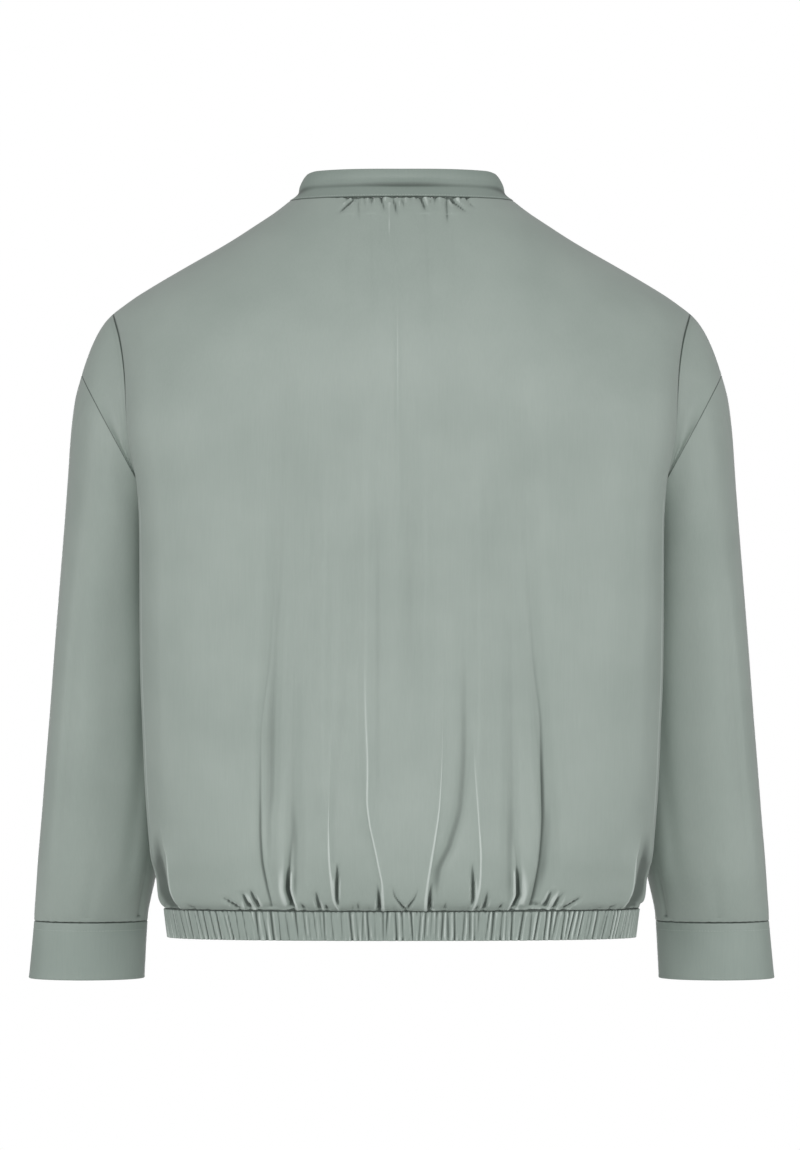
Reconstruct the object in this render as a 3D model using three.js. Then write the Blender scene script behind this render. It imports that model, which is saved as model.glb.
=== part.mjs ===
// A satin blouson jacket, filled out with nobody in it: stand collar, dropped shoulders,
// long sleeves in plain cuffs, and a body that blouses over an elasticated hem band.
// Millimetres, +Z up. The jacket faces -Y, its back faces +Y, its left sleeve is at +X.
// The origin lies in the middle of the neck opening, at the height of the shoulders' neck points.
import * as THREE from "three";

// ---------- Driving dimensions ----------
const CLOTH = 1.6; // wall of a satin panel with its seam allowances
const STIFF_CLOTH = 2.4; // collar and cuffs: two layers of satin with interfacing between
const BAND_CLOTH = 2.6; // hem band: satin folded over wide elastic
const SEAM_GAP = 0.3; // clear distance between two sewn pieces
const ON_SEAM = 0.01; // heights closer than this count as one

const NECK = { x: 96.5, back: 62, front: -92, frontDrop: 48, rise: 1.4 }; // neck opening
const NECK_DIP = 2.6; // exponent of the neck seam's fall toward the front
const TIP = { x: 248.6, y: -21, z: -94 }; // where the shoulder turns down into the arm
const HEAD = { x: 276.5, y: -25, z: -147 }; // top of the armhole seam, on the shoulder line
const ARMPIT = { y: -25, z: -281 }; // lowest point of the armhole seam, on the side seam
const ARMHOLE_DEPTH = 62; // half of the armhole from front to back
// Height where the shoulders begin to round over, at the centre line and at the side.
const CHEST = { centre: -180, side: -235, curve: 1.5 };
const SIDE_SEAM_HEM_Y = -8; // where the side seam meets the hem band
const HEM = -606; // seam of body and hem band
// The hem hangs this much higher at the back, per millimetre of depth, from this height down.
const HEM_TILT = { slope: 0.035, from: -400 };
const BAND_BOTTOM = -631;
const BAND_TAPER = 0.985; // the band's bottom edge, as a share of its seam's outline
const BACK_SQUARENESS = 2.4; // exponent of the back's rounded plan
const NECK_EASE = 1.5; // how gently a column under the neck meets the neck seam

// The torso's plan at each height: half width at the side edge, that edge's y, the back's and
// the front's depth at the centre, how wide the front's curve runs, and where its arm panel begins.
const TORSO = [
  { z: -606, edge: 203.6, edgeY: 4, back: 112, front: -110, chest: 203.6, frontEdge: 160 },
  { z: -605, edge: 206, edgeY: 5, back: 115, front: -113, chest: 206, frontEdge: 162 },
  { z: -602, edge: 208, edgeY: 6, back: 118, front: -116, chest: 209, frontEdge: 163 },
  { z: -595, edge: 209.5, edgeY: 8, back: 121, front: -118, chest: 213, frontEdge: 164 },
  { z: -580, edge: 210.5, edgeY: 11, back: 123.5, front: -120, chest: 220, frontEdge: 165 },
  { z: -564, edge: 215, edgeY: 16, back: 124, front: -120, chest: 230, frontEdge: 166 },
  { z: -540, edge: 217, edgeY: 21, back: 123, front: -119, chest: 240, frontEdge: 167 },
  { z: -500, edge: 219.6, edgeY: 28, back: 120, front: -117, chest: 255, frontEdge: 169 },
  { z: -450, edge: 221.4, edgeY: 33, back: 117, front: -117, chest: 270, frontEdge: 171 },
  { z: -400, edge: 223.2, edgeY: 37, back: 115, front: -117, chest: 285, frontEdge: 173 },
  { z: -340, edge: 223.6, edgeY: 40, back: 113.5, front: -117, chest: 305, frontEdge: 176 },
  { z: -281, edge: 223.6, edgeY: 43, back: 113, front: -117, chest: 335, frontEdge: 181 },
  { z: -255, edge: 224.5, edgeY: 45, back: 112.5, front: -117, chest: 355, frontEdge: 190 },
  { z: -237, edge: 226.4, edgeY: 46, back: 112, front: -117, chest: 375, frontEdge: 197 },
  { z: -219, edge: 230.6, edgeY: 46.5, back: 112, front: -117, chest: 395, frontEdge: 206 },
  { z: -200, edge: 234.2, edgeY: 47, back: 112, front: -117, chest: 410, frontEdge: 214 },
  { z: -150, edge: 236.6, edgeY: 47, back: 112, front: -117, chest: 430, frontEdge: 232 },
  { z: -119, edge: 241, edgeY: 47, back: 112, front: -117, chest: 430, frontEdge: 241 },
  { z: -94, edge: 248.6, edgeY: 47, back: 112, front: -117, chest: 430, frontEdge: 248.6 },
];

// The shoulder line from the neck point out to the tip.
const SHOULDER = [
  { x: 96.5, z: 1.4 },
  { x: 100, z: -1.4 },
  { x: 105, z: -5.5 },
  { x: 112, z: -10.4 },
  { x: 128, z: -20.7 },
  { x: 144, z: -31 },
  { x: 161.5, z: -41.2 },
  { x: 180, z: -51.4 },
  { x: 198, z: -61.6 },
  { x: 215.5, z: -71.7 },
  { x: 232, z: -82 },
  { x: 248.6, z: -94 },
];

// How far the arm panel is drawn off a straight line between torso and armhole: by facing at
// the chest line, where the back tucks in before the arm, and along the shoulder line.
const ARM_FOLD = { 1: new THREE.Vector3(-6, -13, 0), [-1]: new THREE.Vector3(3, -3, 0) };
// The same at the armpit, where the arm presses the side in.
const ARM_PRESS = { 1: new THREE.Vector3(-17, -7, 0), [-1]: new THREE.Vector3(6, -8, 0) };
const FRONT_CORNER = new THREE.Vector3(12, -14, 0); // roundness of the front's side, above the hem
const CORNER_RISE = 100; // height over which that roundness sets in
const PRESS_BELOW = 150; // how far below the armpit the arm still presses the side in
const SHOULDER_BEND = new THREE.Vector3(2.2, 0, 14); // at the top, along the shoulder line

// The sleeve's rings from below the armhole seam to the cuff seam: outer and inner point of each,
// its middle's y, and half its depth from front to back.
const SLEEVE = [
  { outerX: 282.5, outerZ: -168, innerX: 206.5, innerZ: -290, y: -27.5, depth: 62.5 },
  { outerX: 286.5, outerZ: -200, innerX: 210, innerZ: -303, y: -31, depth: 63 },
  { outerX: 289.2, outerZ: -238, innerX: 211.5, innerZ: -320, y: -36, depth: 63 },
  { outerX: 293, outerZ: -284, innerX: 211, innerZ: -342, y: -43, depth: 63 },
  { outerX: 297.3, outerZ: -334, innerX: 209, innerZ: -369, y: -49, depth: 62.5 },
  { outerX: 301.5, outerZ: -384, innerX: 207, innerZ: -402, y: -53, depth: 61.5 },
  { outerX: 305.6, outerZ: -436, innerX: 206, innerZ: -444, y: -56, depth: 59.5 },
  { outerX: 309.8, outerZ: -486, innerX: 206.5, innerZ: -488, y: -58, depth: 56.5 },
  { outerX: 313.6, outerZ: -532, innerX: 208, innerZ: -532, y: -60, depth: 53 },
  { outerX: 317, outerZ: -570, innerX: 211.5, innerZ: -570, y: -61, depth: 49 },
  { outerX: 319, outerZ: -598, innerX: 217.5, innerZ: -598, y: -62, depth: 44 },
  { outerX: 320.2, outerZ: -612, innerX: 220.5, innerZ: -612, y: -62.5, depth: 40 },
  { outerX: 320.6, outerZ: -621, innerX: 221.3, innerZ: -621, y: -63, depth: 36 },
];

// The cuff's rings, from its seam with the sleeve down to its edge.
const CUFF = [
  SLEEVE[SLEEVE.length - 1],
  { outerX: 322.8, outerZ: -645, innerX: 222.6, innerZ: -645, y: -63.5, depth: 36.5 },
  { outerX: 325.3, outerZ: -671, innerX: 224, innerZ: -671, y: -64, depth: 36 },
];

// Height of the collar's top edge, by the turn from centre back.
const COLLAR_TOP = [
  { turn: 0, z: 25.5 },
  { turn: 30, z: 25.8 },
  { turn: 54, z: 25.6 },
  { turn: 66, z: 24 },
  { turn: 75, z: 20.5 },
  { turn: 90, z: 14.5 },
  { turn: 120, z: 6 },
  { turn: 150, z: -11 },
  { turn: 180, z: -22 },
];
// The collar's section from its neck seam to its top edge: share of the height, lean inward.
const COLLAR_SECTION = [
  { share: 0, lean: 0 },
  { share: 0.25, lean: 1.6 },
  { share: 0.48, lean: 4.2 },
  { share: 0.58, lean: 4.2 },
  { share: 0.8, lean: 5.4 },
  { share: 1, lean: 8 },
];

const FOLD_SPREAD = 0.7; // how much wider a fold is at its upper end
const FLAT_AT_SEAM = { hem: 5, top: 3 }; // height over which folds set in at the hem and at the top
// Folds of the body, on each half. They start at the hem band and fade upward: distance from
// the centre line at the hem and at the fold's upper end, height it reaches, half width, depth.
const HEM_FOLDS = [
  { hemX: 20, topX: 30, reach: 120, halfWidth: 7, depth: -4.5 },
  { hemX: 31, topX: 40, reach: 60, halfWidth: 6, depth: 2 },
  { hemX: 57, topX: 60, reach: 90, halfWidth: 7, depth: -5 },
  { hemX: 76, topX: 74, reach: 70, halfWidth: 9, depth: 2 },
  { hemX: 98, topX: 101, reach: 70, halfWidth: 6, depth: -4 },
  { hemX: 114, topX: 124, reach: 380, halfWidth: 12, depth: -6 },
  { hemX: 132, topX: 143, reach: 40, halfWidth: 6, depth: -3 },
  { hemX: 160, topX: 160, reach: 60, halfWidth: 12, depth: 2 },
  { hemX: 192, topX: 204, reach: 75, halfWidth: 6, depth: -5 },
];
// Gathers under the back neck seam, from the centre outward on each half.
const NECK_GATHERS = [
  { x: 6, reach: 60, halfWidth: 4.5, depth: -1.6 },
  { x: 18, reach: 26, halfWidth: 4.5, depth: -2 },
  { x: 31, reach: 20, halfWidth: 4, depth: -1.4 },
  { x: 43, reach: 30, halfWidth: 4.5, depth: -2 },
];

// Columns of the torso's panels as shares of the half width, and of the arm panel beyond it.
const BACK_COLUMNS = [
  0, 0.025, 0.05, 0.075, 0.1, 0.125, 0.15, 0.175, 0.21, 0.245, 0.28, 0.318, 0.352, NECK.x / TIP.x,
  0.43, 0.48, 0.52, 0.56, 0.6, 0.65, 0.71, 0.78, 0.85, 0.91, 0.955, 0.985, 1,
];
// In front the columns under the neck meet the collar's, at these turns from centre front.
const FRONT_TURNS = [0, 12, 26, 42, 60, 77, 90];
const NECK_COLUMNS = FRONT_TURNS.map((turn) => (NECK.x / TIP.x) * Math.sin((turn * Math.PI) / 180));
const FRONT_COLUMNS = [...NECK_COLUMNS, 0.47, 0.56, 0.66, 0.77, 0.89, 1];
const ARM_COLUMNS = [0.25, 0.5, 0.75, 1];
const BACK_TURNS = [0, 10, 20, 30, 40, 50, 60, 70, 80]; // the collar's columns from centre back
const BAND_RIBS = 74; // shirred ribs round the hem band
const HEM_STEPS = 720; // steps in which the hem's outline is measured
// The band's rows from its bottom edge to its seam, and the height of the ribs there.
const BAND_ROWS = [
  { share: 0, rib: 0.9 },
  { share: 0.3, rib: 1.5 },
  { share: 0.75, rib: 1.5 },
  { share: 1, rib: 0.4 },
];
// Two waves along the hem make the ribs uneven: turn for each rib, share of the rib's height.
const RIB_WAVES = [
  { turn: 4.8, share: 0.25 },
  { turn: 0.74, share: 0.2 },
];
const RIB_MEAN = 0.75; // mean height of a rib, as a share of the height above
// Rows as shares of the way from the hem up to the chest line, then angles over the shoulder.
const ARMPIT_RISE = (ARMPIT.z - HEM) / (CHEST.side - HEM);
const BODY_ROWS = [0, 0.003, 0.0105, 0.028, 0.056, 0.094, 0.14, 0.2, 0.28, 0.385, 0.515, 0.655, 0.785,
  ARMPIT_RISE, 0.92, 0.96];
const SHOULDER_ANGLES = [90, 75, 61, 48, 36, 25, 15, 7, 0];
const ROWS = [...BODY_ROWS.map((rise) => ({ rise })), ...SHOULDER_ANGLES.map((angle) => ({ angle }))];

// ---------- Small helpers ----------
const radians = THREE.MathUtils.degToRad;
const lerp = THREE.MathUtils.lerp;
const power = (value, exponent) => Math.pow(Math.max(value, 0), exponent);

// A smooth curve through one column of a table, without overshoot between its rows.
function column(table, at, key) {
  const rows = [...table].sort((a, b) => a[at] - b[at]);
  const slope = (i) => (rows[i + 1][key] - rows[i][key]) / (rows[i + 1][at] - rows[i][at]);
  const tangents = rows.map((row, i) => {
    if (i === 0) return slope(0);
    if (i === rows.length - 1) return slope(i - 1);
    const [before, after] = [slope(i - 1), slope(i)];
    return before * after <= 0 ? 0 : (2 * before * after) / (before + after);
  });
  return (value) => {
    const place = THREE.MathUtils.clamp(value, rows[0][at], rows[rows.length - 1][at]);
    let i = 0;
    while (i < rows.length - 2 && place > rows[i + 1][at]) i += 1;
    const width = rows[i + 1][at] - rows[i][at];
    const t = (place - rows[i][at]) / width;
    const [from, to] = [rows[i][key], rows[i + 1][key]];
    return (
      from * (1 + 2 * t) * (1 - t) ** 2 +
      tangents[i] * width * t * (1 - t) ** 2 +
      to * t ** 2 * (3 - 2 * t) -
      tangents[i + 1] * width * t ** 2 * (1 - t)
    );
  };
}

const torso = {};
for (const key of ["edge", "edgeY", "back", "front", "chest", "frontEdge"]) {
  torso[key] = column(TORSO, "z", key);
}
const shoulderZ = column(SHOULDER, "x", "z");

// A fold's section: 1 on its line, falling smoothly to 0 away from it.
const bell = (distance, halfWidth) => Math.exp(-((distance / halfWidth) ** 2));
// 1 at the seam, falling smoothly to 0 at the fold's reach.
const fade = (distance, reach) => THREE.MathUtils.smoothstep(reach - distance, 0, reach);

// The hem hangs a little higher at the back than at the front.
function tilted(point) {
  const share = THREE.MathUtils.smoothstep(-point.z, -HEM_TILT.from, -HEM);
  return point.clone().setZ(point.z + HEM_TILT.slope * point.y * share);
}

// ---------- Cloth walls ----------
// Turns a sheet of rows and columns of outer points into a closed wall. relief lifts outer points
// off a plain inside. edgeNormal and keep, where a piece gives them, hold the wall's inside
// to its own side of a seam.
function wall(sheet, thickness, { closed = false, relief, edgeNormal, keep } = {}) {
  const rows = sheet.length;
  const columns = sheet[0].length;
  const wrap = (c) => (closed ? (c + columns) % columns : THREE.MathUtils.clamp(c, 0, columns - 1));
  const outer = [];
  const inner = [];
  for (let r = 0; r < rows; r += 1) {
    for (let c = 0; c < columns; c += 1) {
      const along = sheet[r][wrap(c + 1)].clone().sub(sheet[r][wrap(c - 1)]);
      const up = sheet[Math.min(r + 1, rows - 1)][c].clone().sub(sheet[Math.max(r - 1, 0)][c]);
      const normal = along.cross(up).normalize();
      const seamNormal = edgeNormal ? edgeNormal(r, c, normal) : normal;
      const point = sheet[r][c];
      const raised = relief ? relief(r, c) : 0;
      outer.push(point.clone().addScaledVector(seamNormal, raised));
      const inside = point.clone().addScaledVector(seamNormal, -thickness);
      inner.push(keep ? keep(inside, r, c) : inside);
    }
  }
  const points = [...outer, ...inner];
  const index = [];
  // A quad is split along its shorter diagonal.
  const face = (a, b, c, d) => {
    if (points[a].distanceTo(points[c]) <= points[b].distanceTo(points[d])) index.push(a, b, c, a, c, d);
    else index.push(a, b, d, b, c, d);
  };
  const at = (r, c) => r * columns + wrap(c);
  const inside = rows * columns;
  const spans = closed ? columns : columns - 1;
  for (let r = 0; r < rows - 1; r += 1) {
    for (let c = 0; c < spans; c += 1) {
      const [a, b, d, e] = [at(r, c), at(r, c + 1), at(r + 1, c + 1), at(r + 1, c)];
      face(a, b, d, e);
      face(inside + a, inside + e, inside + d, inside + b);
    }
  }
  for (let c = 0; c < spans; c += 1) {
    const [low, lowNext] = [at(0, c), at(0, c + 1)];
    const [high, highNext] = [at(rows - 1, c), at(rows - 1, c + 1)];
    face(low, inside + low, inside + lowNext, lowNext);
    face(high, highNext, inside + highNext, inside + high);
  }
  if (!closed) {
    for (let r = 0; r < rows - 1; r += 1) {
      const [first, firstUp] = [at(r, 0), at(r + 1, 0)];
      const [last, lastUp] = [at(r, columns - 1), at(r + 1, columns - 1)];
      face(first, firstUp, inside + firstUp, inside + first);
      face(last, inside + last, inside + lastUp, lastUp);
    }
  }
  const geometry = new THREE.BufferGeometry();
  const position = new Float32Array(points.flatMap((point) => point.toArray()));
  geometry.setAttribute("position", new THREE.BufferAttribute(position, 3));
  geometry.setIndex(index);
  geometry.computeVertexNormals();
  return geometry;
}

// ---------- The body's form ----------
// The side seam runs down from the armpit, on the curve of the torso's plan.
function sideSeam(z) {
  const y = lerp(SIDE_SEAM_HEM_Y, ARMPIT.y, (z - HEM) / (ARMPIT.z - HEM));
  const reach = (torso.edgeY(z) - y) / (torso.edgeY(z) - torso.front(z));
  return new THREE.Vector3(torso.edge(z) * Math.sqrt(1 - reach ** 2), y, z);
}

const sideSeamTangent = (z) => {
  const seam = sideSeam(z);
  const depth = torso.edgeY(z) - torso.front(z);
  const slope = (torso.edge(z) ** 2 * (torso.edgeY(z) - seam.y)) / (depth ** 2 * seam.x);
  return new THREE.Vector3(slope, 1, 0).normalize();
};

// The armhole seam lies in one plane, from the top of the sleeve head down to the armpit.
const sleeveHead = new THREE.Vector3(HEAD.x, HEAD.y, HEAD.z);
const armholeCentre = sideSeam(ARMPIT.z).lerp(sleeveHead, 0.5);
const armholeAxis = sleeveHead.clone().sub(armholeCentre);
const armholeNormal = new THREE.Vector3(armholeAxis.z, 0, -armholeAxis.x).normalize();

// Angle round the armhole, 0 at the sleeve head and a half turn at the armpit, for a body row
// that meets the side edge at this height.
function armholeTurn(edgeZ) {
  const share = THREE.MathUtils.clamp((edgeZ - ARMPIT.z) / (TIP.z - ARMPIT.z), 0, 1);
  const seamZ = edgeZ - (TIP.z - HEAD.z) * share ** 2;
  return Math.acos(THREE.MathUtils.clamp((seamZ - armholeCentre.z) / armholeAxis.z, -1, 1));
}

function armholePoint(turn, facing) {
  return armholeCentre.clone()
    .addScaledVector(armholeAxis, Math.cos(turn))
    .add(new THREE.Vector3(0, facing * ARMHOLE_DEPTH * Math.sin(turn), 0));
}

// The neck seam at a distance from the centre line; facing is 1 for the back, -1 for the front.
function neckSeam(x, facing) {
  const share = Math.sqrt(Math.max(1 - (x / NECK.x) ** 2, 0));
  if (facing > 0) return { y: NECK.back * share, z: NECK.rise };
  return { y: NECK.front * share, z: NECK.rise - (NECK.frontDrop + NECK.rise) * share ** NECK_DIP };
}

// Where a column of the body ends at the top: at the neck seam or at the shoulder seam.
function columnTop(x, facing) {
  if (x <= NECK.x) return neckSeam(x, facing);
  return { y: (TIP.y * (x - NECK.x)) / (TIP.x - NECK.x), z: shoulderZ(x) };
}

const chestLine = (share) => lerp(CHEST.centre, CHEST.side, share ** CHEST.curve);

// Depth of the torso's plan at a height, on the back or on the front.
function planDepth(facing, share, z) {
  const edgeY = torso.edgeY(z);
  if (facing > 0) {
    const bow = power(1 - share ** BACK_SQUARENESS, 1 / BACK_SQUARENESS);
    return edgeY + (torso.back(z) - edgeY) * bow;
  }
  const x = share * torso.frontEdge(z);
  return edgeY - (edgeY - torso.front(z)) * power(1 - (x / torso.chest(z)) ** 2, 0.5);
}

// The part of a column above the chest line rounds over toward the shoulder's crest, as a
// quarter of an ellipse. Under the neck it stops early, at the neck seam: stop is that
// angle, and crest is the height that the whole quarter would reach.
function roundOver(facing, share) {
  const x = share * TIP.x;
  const seam = columnTop(x, facing);
  const chest = chestLine(share);
  if (x >= NECK.x) return { chest, crest: seam.z, crestY: seam.y, stop: 0, seam };
  const stop = Math.asin(seam.y / planDepth(facing, share, chest));
  const crest = chest + (seam.z - chest) / Math.cos(stop);
  return { chest, crest, crestY: 0, stop, seam };
}

// A point of the body between the centre line (share 0) and its side edge (share 1). A low row
// stands above the hem; a shoulder row is an angle from the chest line (90) up to the seam (0).
function bodyPoint(facing, share, row) {
  const { chest, crest, crestY, stop } = roundOver(facing, share);
  const width = (z) => share * (facing > 0 ? torso.edge(z) : torso.frontEdge(z));
  if (row.angle === undefined) {
    const z = lerp(HEM, chest, row.rise);
    return new THREE.Vector3(width(z), planDepth(facing, share, z), z);
  }
  const angle = radians(row.angle) + stop * (1 - row.angle / 90) ** NECK_EASE;
  const z = lerp(chest, crest, Math.cos(angle));
  return new THREE.Vector3(width(z), lerp(crestY, planDepth(facing, share, z), Math.sin(angle)), z);
}

// Where the tangents at two points of the torso's plan cross, at a height below the armpit.
function cornerOf(z, from, to) {
  const centre = new THREE.Vector3(0, torso.edgeY(z), 0);
  const radii = new THREE.Vector3(torso.edge(z), torso.edgeY(z) - torso.front(z), 1);
  const [start, end] = [from, to].map((point) => point.clone().sub(centre).setZ(0).divide(radii));
  const corner = start.clone().add(end).divideScalar(1 + start.dot(end));
  return corner.multiply(radii).add(centre).setZ((from.z + to.z) / 2);
}

// The arm panel beyond the side edge: down to the side seam, and above the armpit out to the
// armhole seam. A pull point bends it: round the side, into the fold before the arm, and at
// the top along the shoulder line.
function armPanelPoint(facing, share, row) {
  const edge = bodyPoint(facing, 1, row);
  const onSide = edge.z <= ARMPIT.z + ON_SEAM;
  const sideZ = Math.min(edge.z, ARMPIT.z);
  const seam = onSide ? sideSeam(edge.z) : armholePoint(armholeTurn(edge.z), facing);
  const middle = edge.clone().lerp(seam, 0.5);
  const bend = onSide ? cornerOf(edge.z, edge, seam).sub(middle) : ARM_PRESS[facing].clone();
  if (facing < 0) bend.lerp(FRONT_CORNER, THREE.MathUtils.smoothstep(edge.z, HEM, HEM + CORNER_RISE));
  bend.lerp(ARM_PRESS[facing], THREE.MathUtils.smoothstep(edge.z, ARMPIT.z - PRESS_BELOW, ARMPIT.z));
  bend.lerp(ARM_FOLD[facing], THREE.MathUtils.smoothstep(edge.z, ARMPIT.z, CHEST.side));
  const over = row.angle === undefined ? 1 : Math.sin(radians(row.angle)) ** 2;
  const pull = middle.add(bend.multiplyScalar(over)).addScaledVector(SHOULDER_BEND, 1 - over);
  if (onSide) seam.addScaledVector(sideSeamTangent(sideZ), (facing * SEAM_GAP) / 2);
  else seam.addScaledVector(armholeNormal, -SEAM_GAP / 2);
  return edge.multiplyScalar((1 - share) ** 2)
    .addScaledVector(pull, 2 * share * (1 - share))
    .addScaledVector(seam, share ** 2);
}

// Folds push the body in or out along its own normal.
function foldDepth(facing, x, z, top) {
  const above = z - HEM;
  let depth = 0;
  for (const fold of HEM_FOLDS) {
    const climb = Math.min(Math.max(above, 0) / fold.reach, 1);
    const place = lerp(fold.hemX, fold.topX, climb);
    const width = fold.halfWidth * (1 + FOLD_SPREAD * climb);
    depth += fold.depth * fade(above, fold.reach) * bell(Math.abs(x) - place, width);
  }
  if (facing > 0) {
    for (const gather of NECK_GATHERS) {
      depth += gather.depth * fade(top - z, gather.reach) * bell(Math.abs(x) - gather.x, gather.halfWidth);
    }
  }
  const offHem = THREE.MathUtils.smoothstep(above, 0, FLAT_AT_SEAM.hem);
  return depth * offHem * THREE.MathUtils.smoothstep(top - z, 0, FLAT_AT_SEAM.top);
}

// ---------- Pieces ----------
const SIDE = { left: 1, right: -1 };
const mirrored = (point, side) => point.clone().setX(side * point.x);

// A sheet of the body's outer points. Its stations run across it, each on one side of the
// centre line, in the torso (share) or in the arm panel beyond it (arm).
function bodySheet(facing, stations) {
  return ROWS.map((row, r) => stations.map(({ side, share, arm }) => {
    const point = arm ? armPanelPoint(facing, arm, row) : bodyPoint(facing, share, row);
    const onShoulder = r === ROWS.length - 1 && (arm || share * TIP.x >= NECK.x - ON_SEAM);
    if (onShoulder) point.y += (facing * SEAM_GAP) / 2;
    if (facing < 0 && share === 0) point.x = SEAM_GAP / 2;
    return mirrored(point, side);
  }));
}

// The sheet with its folds pushed in along the cloth's own normals.
function folded(sheet, facing, stations) {
  return sheet.map((line, r) => line.map((point, c) => {
    const [before, after] = [line[Math.max(c - 1, 0)], line[Math.min(c + 1, line.length - 1)]];
    const [below, above] = [sheet[Math.max(r - 1, 0)][c], sheet[Math.min(r + 1, sheet.length - 1)][c]];
    const normal = after.clone().sub(before).cross(above.clone().sub(below)).normalize();
    const { side, share } = stations[c];
    if (facing < 0 && share === 0) normal.setX(0).normalize();
    const top = columnTop(share * TIP.x, facing).z;
    return point.clone().addScaledVector(normal, foldDepth(facing, side * point.x, point.z, top));
  }));
}

// A body panel's wall. On its seams the inside is offset so that neighbours stay apart.
function bodyPanel(facing, stations) {
  const level = folded(bodySheet(facing, stations), facing, stations);
  const edgeNormal = (r, c, normal) => {
    const { side, share, arm } = stations[c];
    const point = level[r][c];
    if (arm === 1 && point.z <= ARMPIT.z + ON_SEAM) {
      const tangent = sideSeamTangent(Math.min(point.z, ARMPIT.z));
      return new THREE.Vector3(side * tangent.y, -tangent.x, 0);
    }
    if (r === ROWS.length - 1 && (arm || share * TIP.x >= NECK.x - ON_SEAM)) {
      return normal.clone().setY(0).normalize();
    }
    if (facing < 0 && share === 0) return normal.clone().setX(0).normalize();
    return normal;
  };
  const keep = (inside, r, c) => {
    const { side, arm } = stations[c];
    if (arm !== 1 || level[r][c].z <= ARMPIT.z + ON_SEAM) return inside;
    const point = mirrored(inside, side);
    const past = point.clone().sub(armholeCentre).dot(armholeNormal) + SEAM_GAP / 2;
    if (past > 0) point.addScaledVector(armholeNormal, -past);
    return mirrored(point, side);
  };
  return wall(level.map((line) => line.map(tilted)), CLOTH, { edgeNormal, keep });
}

// Stations from the centre line out to the seam at the arm, on one side.
const halfStations = (columns, side) => [
  ...columns.map((share) => ({ side, share, arm: 0 })),
  ...ARM_COLUMNS.map((arm) => ({ side, share: 1, arm })),
];

function backGeometry() {
  const left = halfStations(BACK_COLUMNS, SIDE.left).reverse();
  const right = halfStations(BACK_COLUMNS, SIDE.right).slice(1);
  return bodyPanel(1, [...left, ...right]);
}

function frontGeometry(side) {
  const stations = halfStations(FRONT_COLUMNS, side);
  return bodyPanel(-1, side === SIDE.left ? stations : stations.reverse());
}

// One closed ring of a sleeve or cuff.
function ringOf(row, turns) {
  const outer = new THREE.Vector3(row.outerX, row.y, row.outerZ);
  const inner = new THREE.Vector3(row.innerX, row.y, row.innerZ);
  const centre = outer.clone().lerp(inner, 0.5);
  const axis = outer.clone().sub(centre);
  return turns.map((turn) => centre.clone()
    .addScaledVector(axis, Math.cos(turn))
    .add(new THREE.Vector3(0, row.depth * Math.sin(turn), 0)));
}

// The sleeve's columns meet the body's rows along the armhole, on the back and on the front.
function sleeveTurns() {
  const seamRows = ROWS.filter((row) => row.angle !== undefined || row.rise > ARMPIT_RISE);
  const back = seamRows.map((row) => armholeTurn(bodyPoint(1, 1, row).z)).reverse();
  const front = back.slice(1).map((turn) => 2 * Math.PI - turn).reverse();
  return [...back, Math.PI, ...front];
}

// A tube wall from rings that run upward, for the sleeve and cuff on either side.
function tube(rings, side, thickness, keep) {
  const sheet = side === SIDE.left ? rings
    : rings.map((ring) => ring.map((point) => mirrored(point, side)).reverse());
  return wall(sheet, thickness, { closed: true, keep });
}

function sleeveGeometry(side) {
  const turns = sleeveTurns();
  const armhole = turns.map((turn) =>
    armholePoint(turn, 1).addScaledVector(armholeNormal, SEAM_GAP / 2));
  const rings = [armhole, ...SLEEVE.map((row) => ringOf(row, turns))].reverse();
  const top = rings.length - 1;
  const keep = (inside, r) => {
    if (r !== top) return inside;
    const point = mirrored(inside, side);
    const short = SEAM_GAP / 2 - point.clone().sub(armholeCentre).dot(armholeNormal);
    if (short > 0) point.addScaledVector(armholeNormal, short);
    return mirrored(point, side);
  };
  return tube(rings, side, CLOTH, keep);
}

function cuffGeometry(side) {
  const rings = CUFF.map((row) => ringOf(row, sleeveTurns())).reverse();
  for (const point of rings[rings.length - 1]) point.z -= SEAM_GAP;
  return tube(rings, side, STIFF_CLOTH);
}

function collarGeometry() {
  const topEdge = column(COLLAR_TOP, "turn", "z");
  const half = [...FRONT_TURNS.map((turn) => 180 - turn), ...[...BACK_TURNS].reverse()];
  const turns = [...half, ...half.slice(0, -1).reverse().map((turn) => -turn)];
  const sheet = COLLAR_SECTION.map(({ share, lean }) => turns.map((degrees) => {
    const turn = radians(degrees);
    const facing = Math.cos(turn) >= 0 ? 1 : -1;
    const depth = Math.abs(facing > 0 ? NECK.back : NECK.front);
    const seam = neckSeam(NECK.x * Math.abs(Math.sin(turn)), facing);
    const outward = new THREE.Vector3(Math.sin(turn) / NECK.x, Math.cos(turn) / depth, 0).normalize();
    const z = lerp(seam.z + SEAM_GAP, topEdge(Math.abs(degrees)), share);
    const point = new THREE.Vector3(NECK.x * Math.sin(turn), seam.y, z).addScaledVector(outward, -lean);
    if (Math.abs(degrees) === 180) point.x = (Math.sign(degrees) * SEAM_GAP) / 2;
    return point;
  }));
  // Its lower edge stays level through the wall, and its front edges stay in their own plane.
  const edgeNormal = (r, c, normal) => {
    if (r === 0) normal.setZ(0);
    if (c === 0 || c === turns.length - 1) normal.setX(0);
    return normal.normalize();
  };
  return wall(sheet, STIFF_CLOTH, { edgeNormal });
}

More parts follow.
